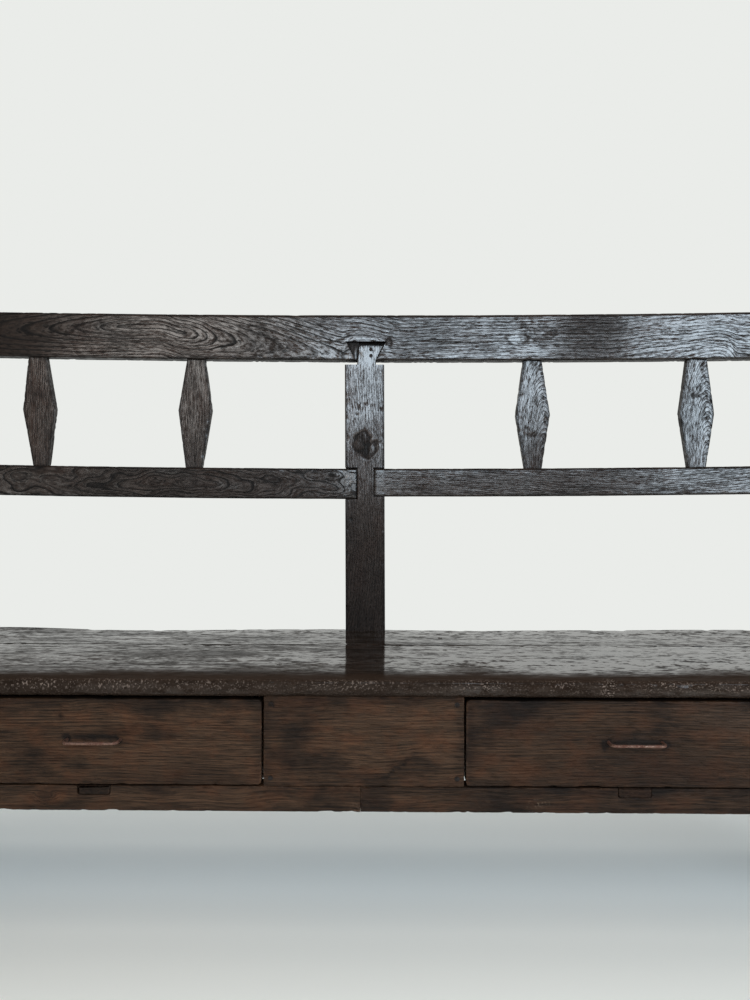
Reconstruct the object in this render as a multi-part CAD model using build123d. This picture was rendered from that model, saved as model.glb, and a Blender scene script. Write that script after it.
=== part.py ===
from build123d import *
import os
from dataclasses import dataclass
from math import sqrt

# A long settle bench with a railed back and two drawers under its seat.
# Sizes are in millimetres. X runs along the bench, to the right seen from the front.
# Y runs from the front to the back and Z runs up. The origin lies on the floor below the middle.

# Sizes along the length
centre_panel_width = 282.0
drawer_front_width = 472.0
drawer_side_gap = 3.0
end_panel_width = 280.0
post_width = 72.0
seat_end_overhang = 12.0

# Heights
seat_height = 420.0
seat_thickness = 24.5
drawer_top_gap = 5.5
drawer_front_height = 120.5
drawer_front_lift = 1.7
front_rail_height = 35.5
back_opening = 252.0
left_rail_height = 59.0
right_rail_height = 54.0
baluster_height = 206.5
top_rail_height = 87.5
rail_sag = 9.5
top_rail_tilt = 2.3
post_rise = 8.0

# Depths
seat_depth = 400.0
seat_tuck = 18.0
seat_lip = 12.0
seat_post_gap = 1.0
front_plank_width = 262.0
plank_gap = 1.2
post_depth = 50.0
leg_depth = 60.0
top_rail_thickness = 29.0
lower_rail_thickness = 27.0
front_rail_thickness = 32.0
panel_thickness = 22.0
apron_thickness = 30.0
apron_set_back = 3.0
end_apron_thickness = 24.0
divider_thickness = 20.0

# Rounded edges
seat_nose_radius = 10.0
seat_under_radius = 4.0
round_limit = 0.45
drawer_corner_radius = 5.0
post_top_chamfer = 4.0

# Tenons and housings
tenon_length = 42.0
tenon_thickness = 11.0
tenon_inset = 8.0
tenon_play = 0.25
end_tenon_length = 28.0
apron_tenon_space = 8.0
divider_housing = 8.0
panel_tongue_length = 8.0
panel_tongue_thickness = 8.0

# Centre stile and its dovetail
stile_place = -8.5
stile_width = 75.5
stile_thickness = 45.0
stile_foot_length = 120.0
shoulder_gap = 8.0
left_notch_depth = 23.25
right_notch_depth = 20.75
notch_end_gap = 1.0
notch_top_gap = 2.0
tongue_height = 36.0
tongue_depth = 16.0
tongue_left_foot = 15.0
tongue_left_head = 12.0
socket_throat = 40.5
socket_head = 77.5
socket_height = 36.5
socket_offset = 2.0
dovetail_play = 1.2
cut_reach = 1.0
wedge_recess = 4.0

# Balusters
baluster_thickness = 14.0
baluster_tenon_width = 20.0
baluster_tenon_thickness = 8.0
baluster_tenon_length = 14.0
baluster_tenon_root = 8.0
baluster_trim = 3.0
left_outer_from_post = 262.2
left_inner_from_stile = 327.3
right_inner_from_stile = 322.3
right_outer_from_post = 271.5
left_outer_lean = 7.0
left_inner_lean = -3.8
right_inner_lean = 1.5
right_outer_lean = 0.7
left_outer_foot_width = 28.5
left_inner_foot_width = 31.5
right_inner_foot_width = 32.5
right_outer_foot_width = 33.5
left_outer_waist_width = 62.5
left_inner_waist_width = 64.5
right_inner_waist_width = 66.0
right_outer_waist_width = 66.0
left_outer_head_width = 34.0
left_inner_head_width = 34.0
right_inner_head_width = 34.5
right_outer_head_width = 37.5
left_outer_waist_height = 108.0
left_inner_waist_height = 110.0
right_inner_waist_height = 102.0
right_outer_waist_height = 102.0

# Front rail joint and drawer bearers
rail_joint_place = -4.5
rail_joint_gap = 0.4
cleat_length = 150.0
cleat_thickness = 18.0
cleat_margin = 2.0
bearer_width = 46.0
bearer_height = 13.0
bearer_corner_radius = 4.0
bearer_housing = 10.0
bearer_play = 0.7

# Drawers
drawer_front_thickness = 22.0
drawer_side_thickness = 12.0
drawer_back_thickness = 12.0
drawer_bottom_thickness = 9.0
drawer_side_inset = 1.5
drawer_side_drop = 10.0
drawer_back_drop = 20.0
drawer_rabbet_face = 10.0
drawer_slide_gap = 0.3
drawer_stop_gap = 0.5

# Drawer pulls, bent from iron rod
pull_spacing = 75.0
pull_reach = 20.0
pull_rod_diameter = 4.5
pull_bend_radius = 7.0
pull_clinch_length = 16.0
pull_hole_play = 0.2
pull_drop = 57.5

# Fasteners
peg_diameter = 8.0
peg_inset = 19.0
peg_proud = 1.0
peg_cover = 6.0
seat_peg_length = 66.0
seat_peg_inset = 42.0
seat_peg_behind_leg = 30.0
nail_shank_diameter = 3.2
nail_head_diameter = 7.0
nail_head_thickness = 1.4
nail_head_proud = 0.6
panel_nail_inset = 12.0
panel_nail_length = 52.0
cleat_nail_inset = 22.0
cleat_nail_length = 36.0
tongue_nail_length = 25.0
tongue_nail_place = 11.5
tongue_upper_nail_drop = 7.0
tongue_lower_nail_drop = 19.0
stile_nail_length = 36.0
stile_nail_spacing = 36.0
foot_nail_inset = 30.0
drawer_nail_length = 32.0
drawer_nail_inset = 22.0
bottom_nail_length = 30.0
bottom_nail_inset = 45.0

# Places that follow from the sizes
drawer_near = centre_panel_width / 2 + drawer_side_gap
drawer_far = drawer_near + drawer_front_width
drawer_centre = (drawer_near + drawer_far) / 2
half_span = drawer_far + drawer_side_gap + end_panel_width
half_length = half_span + post_width
post_centre = half_span + post_width / 2

seat_under = seat_height - seat_thickness
front_high = seat_under - drawer_top_gap
front_low = front_high - drawer_front_height
rail_high = front_low - drawer_front_lift
rail_low = rail_high - front_rail_height
lower_low = seat_height + back_opening
lower_high = lower_low + left_rail_height
lower_right_low = lower_high - right_rail_height
top_low = lower_high + baluster_height
top_high = top_low + top_rail_height
post_top = top_high + rail_sag + post_rise
shoulder = top_low - shoulder_gap

front_reach = max(seat_depth, seat_depth - seat_lip + pull_reach)
post_front = (front_reach - post_depth) / 2
post_back = post_front + post_depth
seat_front = post_front - seat_depth
plank_joint = seat_front + front_plank_width
apron_face = seat_front + seat_lip
leg_back = apron_face + leg_depth
apron_front = post_front + apron_set_back
apron_back = apron_front + apron_thickness
stile_back = post_front + stile_thickness

inner_divider_centre = centre_panel_width / 2 - divider_thickness / 2
outer_divider_centre = drawer_far + drawer_side_gap + divider_thickness / 2
apron_split = (rail_high + seat_under) / 2
bottom_low = rail_high + drawer_slide_gap
bottom_high = bottom_low + drawer_bottom_thickness
drawer_end = apron_front - drawer_stop_gap
pull_height = front_high - pull_drop
sag_radius = (half_span**2 + rail_sag**2) / (2 * rail_sag)
left_side = -1
right_side = 1


def block(x, y, z, play=0.0):
    """Box between two values on each axis, grown by the play on every side."""
    spans = [sorted(pair) for pair in (x, y, z)]
    sizes = [high - low + 2 * play for low, high in spans]
    middles = [(low + high) / 2 for low, high in spans]
    return Pos(*middles) * Box(*sizes)


def prism(points, y_front, y_rear):
    """Outline in the X-Z plane carried from one depth to another."""
    corners = [(x, y_front, z) for x, z in points]
    outline = make_face(Polyline(*corners, close=True))
    return extrude(outline, amount=y_rear - y_front, dir=(0, 1, 0))


def rod(start, end, diameter):
    """Round bar between two points."""
    path = Line(start, end)
    section = Plane(origin=start, z_dir=path % 0) * Circle(diameter / 2)
    return extrude(section, amount=path.length, dir=path % 0)


def rise(x):
    """How far the sagging rails climb between the middle of the bench and a place along it."""
    return sag_radius - sqrt(sag_radius**2 - x**2)


def drop(x):
    """How far the top rail's lower edge lies below its even sag at a place along the bench."""
    return top_rail_tilt * x / half_span


def lower_edge(side):
    """Height of the lower edge of a lower rail in the middle of the bench."""
    return lower_low if side == left_side else lower_right_low


def notch_depth(side):
    """How deep a side of the stile is notched for a lower rail."""
    return left_notch_depth if side == left_side else right_notch_depth


def sagging_edge(x_start, x_end, height):
    """Arc through the heights that a rule gives for the two ends and the middle of a board."""
    places = (x_start, (x_start + x_end) / 2, x_end)
    return ThreePointArc(*[(x, post_front, height(x)) for x in places])


def board_between(lower, upper, thickness):
    """Board of the back between its lower and its upper edge."""
    start = Line(lower @ 0, upper @ 0)
    end = Line(lower @ 1, upper @ 1)
    outline = make_face([lower, end, upper, start])
    return extrude(outline, amount=thickness, dir=(0, 1, 0))


def top_board(thickness):
    """Space of the top rail, whose lower edge drops to the right."""
    lower = sagging_edge(-half_span, half_span, lambda x: top_low + rise(x) - drop(x))
    upper = sagging_edge(-half_span, half_span, lambda x: top_high + rise(x))
    return board_between(lower, upper, thickness)


def lower_board(side, x_start, thickness):
    """Space of a lower rail, from a place near the stile to the end post."""
    x_end = side * half_span
    lower = sagging_edge(x_start, x_end, lambda x: lower_edge(side) + rise(x))
    upper = sagging_edge(x_start, x_end, lambda x: lower_high + rise(x))
    return board_between(lower, upper, thickness)


def nail(place, way, length):
    """Forged nail with a flat head, driven from a place on a face in a given way."""
    point = Vector(*place)
    direction = Vector(*way)
    head_outside = point - direction * nail_head_proud
    head_inside = head_outside + direction * nail_head_thickness
    head = rod(head_outside, head_inside, nail_head_diameter)
    shank = rod(head_outside, point + direction * length, nail_shank_diameter)
    return head + shank


def sunk_nail(place, way, length):
    """Nail whose head is level with the face."""
    start = Vector(*place) + Vector(*way) * nail_head_proud
    return nail(start, way, length)


# Fasteners


def make_frame_pegs():
    """Draw pegs through the tenons of the frame, front to back and from the ends."""
    pegs = []
    for side in (left_side, right_side):
        x = side * (half_span + peg_inset)
        front_face = post_front - peg_proud
        for z in ((top_low + top_high) / 2, (lower_edge(side) + lower_high) / 2):
            height = z + rise(half_span)
            pegs.append(rod((x, front_face, height), (x, post_back, height), peg_diameter))
        apron_z = (apron_split + seat_under) / 2
        pegs.append(rod((x, post_front + peg_cover, apron_z), (x, post_back, apron_z), peg_diameter))
        rail_z = (rail_low + rail_high) / 2
        leg_face = apron_face - peg_proud
        pegs.append(rod((x, leg_face, rail_z), (x, leg_back - peg_cover, rail_z), peg_diameter))
        end_z = (rail_high + apron_split) / 2
        outside = side * (half_length + peg_proud)
        inside = side * (half_span + peg_cover)
        for y in (leg_back - end_tenon_length / 2, post_front + end_tenon_length / 2):
            pegs.append(rod((outside, y, end_z), (inside, y, end_z), peg_diameter))
    return pegs


def make_seat_pegs():
    """Pegs through the seat planks into the dividers and the end aprons."""
    depths = [
        leg_back + seat_peg_behind_leg,
        plank_joint - seat_peg_inset,
        (plank_joint + post_front) / 2,
    ]
    pegs = []
    for side in (left_side, right_side):
        for centre in (inner_divider_centre, outer_divider_centre, post_centre):
            for y in depths:
                top = (side * centre, y, seat_height)
                foot = (side * centre, y, seat_height - seat_peg_length)
                pegs.append(rod(top, foot, peg_diameter))
    return pegs


def make_case_nails():
    """Nails of the fixed front panels, and of the cleat behind the front rail joint."""
    nails = []
    for side in (left_side, right_side):
        for centre in (inner_divider_centre, outer_divider_centre):
            for z in (rail_high + panel_nail_inset, seat_under - panel_nail_inset):
                nails.append(nail((side * centre, apron_face, z), (0, 1, 0), panel_nail_length))
        for inset in (cleat_nail_inset, 2 * cleat_nail_inset):
            x = rail_joint_place + side * (cleat_length / 2 - inset)
            place = (x, apron_face + front_rail_thickness + cleat_thickness, (rail_low + rail_high) / 2)
            nails.append(nail(place, (0, -1, 0), cleat_nail_length))
    return nails


def make_stile_nails():
    """Nails of the dovetail tongue, of the lower rail ends and of the stile's foot."""
    nails = []
    tongue_top = shoulder + tongue_height
    for drop in (tongue_upper_nail_drop, tongue_lower_nail_drop):
        place = (stile_place + tongue_nail_place, post_front, tongue_top - drop)
        nails.append(nail(place, (0, 1, 0), tongue_nail_length))
    for side in (left_side, right_side):
        x = stile_place + side * (stile_width - notch_depth(side)) / 2
        rail_end = (x, stile_back, (lower_edge(side) + lower_high) / 2)
        nails.append(nail(rail_end, (0, -1, 0), stile_nail_length))
        x = stile_place + side * stile_nail_spacing / 2
        foot = (x, stile_back, seat_under - foot_nail_inset)
        nails.append(nail(foot, (0, -1, 0), stile_nail_length))
    return nails


def make_drawer_nails(side):
    """Nails that hold the sides of one drawer to its front, back and bottom."""
    nails = []
    half_width = drawer_front_width / 2 - drawer_side_inset
    front_y = apron_face + (drawer_rabbet_face + drawer_front_thickness) / 2
    back_y = drawer_end - drawer_back_thickness / 2
    back_high = front_high - drawer_back_drop
    depths = (front_y + bottom_nail_inset, (front_y + back_y) / 2, back_y - bottom_nail_inset)
    for way in (-1, 1):
        face = side * drawer_centre - way * half_width
        for y in (front_y, back_y):
            for z in (bottom_high + drawer_nail_inset, back_high - drawer_nail_inset):
                nails.append(sunk_nail((face, y, z), (way, 0, 0), drawer_nail_length))
        below = face + way * drawer_side_thickness / 2
        for y in depths:
            nails.append(sunk_nail((below, y, bottom_low), (0, 0, 1), bottom_nail_length))
    return nails


# Tenons, each grown by a play to cut its own mortise


def top_tenon(side, play=0.0):
    """Tenon at one end of the top rail."""
    y = post_front + top_rail_thickness / 2
    return block(
        (side * (half_span - tenon_inset), side * (half_span + tenon_length)),
        (y - tenon_thickness / 2, y + tenon_thickness / 2),
        (top_low + rail_sag + tenon_inset, top_high + rail_sag - tenon_inset),
        play,
    )


def lower_tenon(side, play=0.0):
    """Tenon at the outer end of a lower rail."""
    low = lower_edge(side)
    y = post_front + lower_rail_thickness / 2
    return block(
        (side * (half_span - tenon_inset), side * (half_span + tenon_length)),
        (y - tenon_thickness / 2, y + tenon_thickness / 2),
        (low + rail_sag + tenon_inset, lower_high + rail_sag - tenon_inset),
        play,
    )


def back_apron_tenon(side, play=0.0):
    """Tenon in the upper half of the back apron's end."""
    y = apron_front + apron_thickness / 2
    return block(
        (side * (half_span - tenon_inset), side * (half_span + tenon_length)),
        (y - tenon_thickness / 2, y + tenon_thickness / 2),
        (apron_split + apron_tenon_space / 2, seat_under - tenon_inset),
        play,
    )


def end_apron_tenon(side, play=0.0):
    """Tenons of an end apron: one bar that runs from the front leg into the back post."""
    x = side * post_centre
    return block(
        (x - tenon_thickness / 2, x + tenon_thickness / 2),
        (leg_back - end_tenon_length, post_front + end_tenon_length),
        (rail_high + apron_tenon_space / 2, apron_split - apron_tenon_space / 2),
        play,
    )


def front_rail_tenon(side, play=0.0):
    """Tenon at the outer end of a front rail board."""
    y = apron_face + front_rail_thickness / 2
    return block(
        (side * (half_span - tenon_inset), side * (half_span + tenon_length)),
        (y - tenon_thickness / 2, y + tenon_thickness / 2),
        (rail_low + tenon_inset, rail_high - tenon_inset),
        play,
    )


def end_panel_tongue(side, play=0.0):
    """Tongue along the outer edge of an end panel, let into a groove of the front leg."""
    y = apron_face + panel_thickness / 2
    return block(
        (side * (half_span - panel_tongue_length), side * (half_span + panel_tongue_length)),
        (y - panel_tongue_thickness / 2, y + panel_tongue_thickness / 2),
        (rail_high, seat_under),
        play,
    )


# Legs, posts and aprons


def make_front_leg(side, pegs):
    """Square front leg below the seat."""
    leg = block(
        (side * half_span, side * half_length),
        (apron_face, leg_back),
        (0, seat_under),
    )
    cuts = [
        front_rail_tenon(side, tenon_play),
        end_apron_tenon(side, tenon_play),
        end_panel_tongue(side, tenon_play),
    ]
    return leg - cuts - pegs


def make_back_post(side, pegs):
    """Back leg that runs on above the seat and ends the railed back."""
    post = block(
        (side * half_span, side * half_length),
        (post_front, post_back),
        (0, post_top),
    )
    top_edges = post.faces().sort_by(Axis.Z)[-1].edges()
    post = chamfer(top_edges, post_top_chamfer)
    cuts = [
        top_tenon(side, tenon_play),
        lower_tenon(side, tenon_play),
        back_apron_tenon(side, tenon_play),
        end_apron_tenon(side, tenon_play),
    ]
    return post - cuts - pegs


def make_end_apron(side, pegs, seat_pegs):
    """Board that joins the front leg to the back post below the end of the seat."""
    x = side * post_centre
    board = block(
        (x - end_apron_thickness / 2, x + end_apron_thickness / 2),
        (leg_back, post_front),
        (rail_low, seat_under),
    )
    return board + end_apron_tenon(side) - pegs - seat_pegs


def make_back_apron(pegs, nails):
    """Wide board between the back posts, housed for the stile, the dividers and the bearers."""
    board = block((-half_span, half_span), (apron_front, apron_back), (rail_low, seat_under))
    board = board + back_apron_tenon(left_side) + back_apron_tenon(right_side)
    cuts = [stile_lap(tenon_play)]
    for side in (left_side, right_side):
        cuts.append(bearer_bar(side))
        for centre in (inner_divider_centre, outer_divider_centre):
            cuts.append(divider_bar(side * centre, tenon_play))
    return board - cuts - pegs - nails


# Front of the case


def bearer_bar(side, play=0.0):
    """Bar below the middle of a drawer, with its lower edges rounded."""
    x = side * drawer_centre
    half_width = bearer_width / 2 + play
    bar = block(
        (x - half_width, x + half_width),
        (apron_face, apron_front + bearer_housing),
        (rail_high - bearer_height, rail_high),
    )
    under = bar.edges().filter_by(Axis.Y).sort_by(Axis.Z)[:2]
    radius = min(bearer_corner_radius, bearer_height * round_limit)
    return fillet(under, radius)


def make_front_rail(side, pegs, nails):
    """One of the two boards of the front rail, butted near the middle of the bench."""
    inner = rail_joint_place + side * rail_joint_gap / 2
    board = block(
        (inner, side * half_span),
        (apron_face, apron_face + front_rail_thickness),
        (rail_low, rail_high),
    )
    board = board + front_rail_tenon(side)
    return board - bearer_bar(side, bearer_play) - pegs - nails


def make_rail_cleat(nails):
    """Cleat that joins the two front rail boards from behind."""
    back = apron_face + front_rail_thickness
    cleat = block(
        (rail_joint_place - cleat_length / 2, rail_joint_place + cleat_length / 2),
        (back, back + cleat_thickness),
        (rail_low + cleat_margin, rail_high - cleat_margin),
    )
    return cleat - nails


def make_centre_panel(nails):
    """Fixed board between the two drawers."""
    half = centre_panel_width / 2
    panel = block((-half, half), (apron_face, apron_face + panel_thickness), (rail_high, seat_under))
    return panel - nails


def make_end_panel(side, nails):
    """Fixed board between a drawer and the front leg."""
    panel = block(
        (side * (half_span - end_panel_width), side * half_span),
        (apron_face, apron_face + panel_thickness),
        (rail_high, seat_under),
    )
    return panel + end_panel_tongue(side) - nails


def divider_bar(centre, play=0.0):
    """Board from the front panels to its housing in the back apron."""
    return block(
        (centre - divider_thickness / 2, centre + divider_thickness / 2),
        (apron_face + panel_thickness, apron_front + divider_housing),
        (rail_high, seat_under),
        play,
    )


def make_divider(centre, nails, seat_pegs):
    """Divider that guides a drawer and carries the seat."""
    return divider_bar(centre) - nails - seat_pegs


# Seat


def make_seat_front_plank(seat_pegs):
    """Wide front plank of the seat with a rounded nose."""
    reach = half_length + seat_end_overhang
    plank = block(
        (-reach, reach),
        (seat_front, plank_joint - plank_gap / 2),
        (seat_under, seat_height),
    )
    nose = plank.edges().filter_by(Axis.X).group_by(Axis.Y)[0].sort_by(Axis.Z)
    plank = fillet(nose[-1], min(seat_nose_radius, seat_thickness * round_limit))
    under = plank.edges().filter_by(Axis.X).group_by(Axis.Z)[0].sort_by(Axis.Y)
    plank = fillet(under[0], min(seat_under_radius, seat_thickness * round_limit))
    return plank - seat_pegs


def make_seat_back_plank(seat_pegs):
    """Narrow back plank, which runs in between the back posts and behind the stile's face."""
    reach = half_length + seat_end_overhang
    start = plank_joint + plank_gap / 2
    plank = block((-reach, reach), (start, post_front), (seat_under, seat_height))
    tucked = half_span - seat_post_gap
    strip = block((-tucked, tucked), (start, post_front + seat_tuck), (seat_under, seat_height))
    return plank + strip - seat_pegs


# Back


def socket_side(side, z):
    """Place of one sloping side of the dovetail socket at a height."""
    share = (z - top_low) / socket_height
    half = (socket_throat + (socket_head - socket_throat) * share) / 2
    return stile_place + socket_offset + side * half


def tongue_side(z):
    """Place of the tongue's left side at a height."""
    share = (z - shoulder) / tongue_height
    return stile_place - tongue_left_foot - (tongue_left_head - tongue_left_foot) * share


def make_top_rail(pegs, nails, mortises):
    """Continuous top rail with the dovetail socket in its face."""
    board = top_board(top_rail_thickness)
    board = board + top_tenon(left_side) + top_tenon(right_side)
    low = top_low - shoulder_gap
    high = top_low + socket_height
    corners = [
        (socket_side(left_side, low), low),
        (socket_side(right_side, low), low),
        (socket_side(right_side, high), high),
        (socket_side(left_side, high), high),
    ]
    socket = prism(corners, post_front - cut_reach, post_front + tongue_depth)
    return board - socket - mortises - pegs - nails


def make_lower_rail(side, pegs, nails, mortises):
    """One of the two lower rails, from the end post to its notch in the stile."""
    inner = stile_place + side * (stile_width / 2 - notch_depth(side) + notch_end_gap)
    board = lower_board(side, inner, lower_rail_thickness)
    return board + lower_tenon(side) - mortises - pegs - nails


def stile_lap(play=0.0):
    """Thinned foot of the stile, behind the seat and let into the back apron."""
    return block(
        (stile_place - stile_width / 2, stile_place + stile_width / 2),
        (post_front + seat_tuck, stile_back),
        (seat_under - stile_foot_length, seat_height),
        play,
    )


def make_centre_stile(nails):
    """Stile in the middle of the back, with a dovetail tongue, two notches and a lapped foot."""
    half = stile_width / 2
    sides = (stile_place - half, stile_place + half)
    body = block(sides, (post_front, stile_back), (seat_height, shoulder))
    tongue_top = shoulder + tongue_height
    root = shoulder - tongue_depth / 2
    right_foot = socket_side(right_side, top_low) - dovetail_play
    right_head = socket_side(right_side, tongue_top) - dovetail_play
    corners = [
        (tongue_side(shoulder), root),
        (right_foot, root),
        (right_foot, top_low),
        (right_head, tongue_top),
        (tongue_side(tongue_top), tongue_top),
        (tongue_side(shoulder), shoulder),
    ]
    body = body + prism(corners, post_front, post_front + tongue_depth)
    body = body + stile_lap()
    notches = []
    for side in (left_side, right_side):
        inner = stile_place + side * (half - notch_depth(side))
        outer = stile_place + side * (half + cut_reach)
        notches.append(
            block(
                (inner, outer),
                (post_front - cut_reach, post_front + lower_rail_thickness),
                (lower_edge(side), lower_high + notch_top_gap),
            )
        )
    return body - notches - nails


def make_dovetail_wedge():
    """Thin wedge driven between the tongue and the left side of the socket."""
    low = top_low + dovetail_play
    high = top_low + socket_height - dovetail_play
    tongue_top = shoulder + tongue_height
    corners = [
        (socket_side(left_side, low), low),
        (tongue_side(low), low),
        (tongue_side(min(high, tongue_top)), high),
        (socket_side(left_side, high), high),
    ]
    return prism(corners, post_front + wedge_recess, post_front + tongue_depth)


def baluster_middle_depth():
    """Depth of the balusters' middle plane, between the middles of the two rails."""
    return post_front + (top_rail_thickness + lower_rail_thickness) / 4


@dataclass
class Baluster:
    """Place, lean, widths and waist of one baluster."""

    place: float
    lean: float
    foot_width: float
    waist_width: float
    head_width: float
    waist_height: float


def baluster_tenons(shape, play=0.0):
    """Upper and lower tenon of a baluster."""
    y = baluster_middle_depth()
    half = baluster_tenon_width / 2
    thick = baluster_tenon_thickness / 2
    tenons = []
    foot_x = shape.place + shape.lean / 2
    head_x = shape.place - shape.lean / 2
    for x, level, way in (
        (foot_x, lower_high + rise(foot_x), -1),
        (head_x, top_low + rise(head_x) - drop(head_x), 1),
    ):
        tenons.append(
            block(
                (x - half, x + half),
                (y - thick, y + thick),
                (level - way * baluster_tenon_root, level + way * baluster_tenon_length),
                play,
            )
        )
    return tenons


def make_baluster(shape):
    """Flat lozenge-shaped baluster between a lower rail and the top rail."""
    y = baluster_middle_depth()
    low = lower_high + rise(shape.place)
    high = top_low + rise(shape.place) - drop(shape.place)
    waist = low + shape.waist_height
    foot_x = shape.place + shape.lean / 2
    head_x = shape.place - shape.lean / 2
    waist_x = foot_x - shape.lean * shape.waist_height / (high - low)
    corners = [
        (foot_x - shape.foot_width / 2, low - baluster_trim),
        (foot_x + shape.foot_width / 2, low - baluster_trim),
        (waist_x + shape.waist_width / 2, waist),
        (head_x + shape.head_width / 2, high + baluster_trim),
        (head_x - shape.head_width / 2, high + baluster_trim),
        (waist_x - shape.waist_width / 2, waist),
    ]
    body = prism(corners, y - baluster_thickness / 2, y + baluster_thickness / 2)
    side = left_side if shape.place < stile_place else right_side
    body = body - [top_board(stile_thickness), lower_board(side, stile_place, stile_thickness)]
    for tenon in baluster_tenons(shape):
        body = body + tenon
    return body


def baluster_shapes():
    """The four balusters by their names."""
    return {
        "baluster_left_outer": Baluster(
            left_outer_from_post - half_span,
            left_outer_lean,
            left_outer_foot_width,
            left_outer_waist_width,
            left_outer_head_width,
            left_outer_waist_height,
        ),
        "baluster_left_inner": Baluster(
            stile_place - left_inner_from_stile,
            left_inner_lean,
            left_inner_foot_width,
            left_inner_waist_width,
            left_inner_head_width,
            left_inner_waist_height,
        ),
        "baluster_right_inner": Baluster(
            stile_place + right_inner_from_stile,
            right_inner_lean,
            right_inner_foot_width,
            right_inner_waist_width,
            right_inner_head_width,
            right_inner_waist_height,
        ),
        "baluster_right_outer": Baluster(
            half_span - right_outer_from_post,
            right_outer_lean,
            right_outer_foot_width,
            right_outer_waist_width,
            right_outer_head_width,
            right_outer_waist_height,
        ),
    }


# Drawers


def make_drawer_front(side, nails):
    """Drawer front with rounded corners, rabbeted for the sides and the bottom."""
    x = side * drawer_centre
    half = drawer_front_width / 2
    back = apron_face + drawer_front_thickness
    board = block((x - half, x + half), (apron_face, back), (front_low, front_high))
    corners = board.edges().filter_by(Axis.Y)
    board = fillet(corners, drawer_corner_radius)
    rabbet = drawer_side_inset + drawer_side_thickness
    step = apron_face + drawer_rabbet_face
    cuts = [block((x - half, x + half), (step, back), (rail_high, bottom_high))]
    for way in (-1, 1):
        end = x + way * half
        cuts.append(block((end, end - way * rabbet), (step, back), (rail_high, front_high)))
    for way in (-1, 1):
        hole_x = x + way * pull_spacing / 2
        start = (hole_x, apron_face - pull_reach / 2, pull_height)
        end = (hole_x, back + pull_reach / 2, pull_height)
        cuts.append(rod(start, end, pull_rod_diameter + 2 * pull_hole_play))
    return board - cuts - nails


def make_drawer_side(side, way, nails):
    """Side board of a drawer: way -1 is its left side and way 1 is its right side."""
    outer = side * drawer_centre + way * (drawer_front_width / 2 - drawer_side_inset)
    board = block(
        (outer, outer - way * drawer_side_thickness),
        (apron_face + drawer_rabbet_face, drawer_end),
        (bottom_high, front_high - drawer_side_drop),
    )
    return board - nails


def make_drawer_back(side, nails):
    """Back board between the two sides of a drawer."""
    x = side * drawer_centre
    half = drawer_front_width / 2 - drawer_side_inset - drawer_side_thickness
    board = block(
        (x - half, x + half),
        (drawer_end - drawer_back_thickness, drawer_end),
        (bottom_high, front_high - drawer_back_drop),
    )
    return board - nails


def make_drawer_bottom(side, nails):
    """Bottom board nailed below the sides of a drawer."""
    x = side * drawer_centre
    half = drawer_front_width / 2 - drawer_side_inset
    board = block(
        (x - half, x + half),
        (apron_face + drawer_rabbet_face, drawer_end),
        (bottom_low, bottom_high),
    )
    return board - nails


def make_pull(side):
    """Iron staple: a bent rod through the drawer front, with its ends clinched inside."""
    x = side * drawer_centre
    half = pull_spacing / 2
    inside = apron_face + drawer_front_thickness + pull_bend_radius
    outside = apron_face - pull_reach + pull_rod_diameter / 2
    points = [
        (x - half - pull_clinch_length, inside, pull_height),
        (x - half, inside, pull_height),
        (x - half, outside, pull_height),
        (x + half, outside, pull_height),
        (x + half, inside, pull_height),
        (x + half + pull_clinch_length, inside, pull_height),
    ]
    path = FilletPolyline(*points, radius=pull_bend_radius)
    section = Plane(origin=path @ 0, z_dir=path % 0) * Circle(pull_rod_diameter / 2)
    return sweep(section, path=path)


# All pieces


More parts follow.
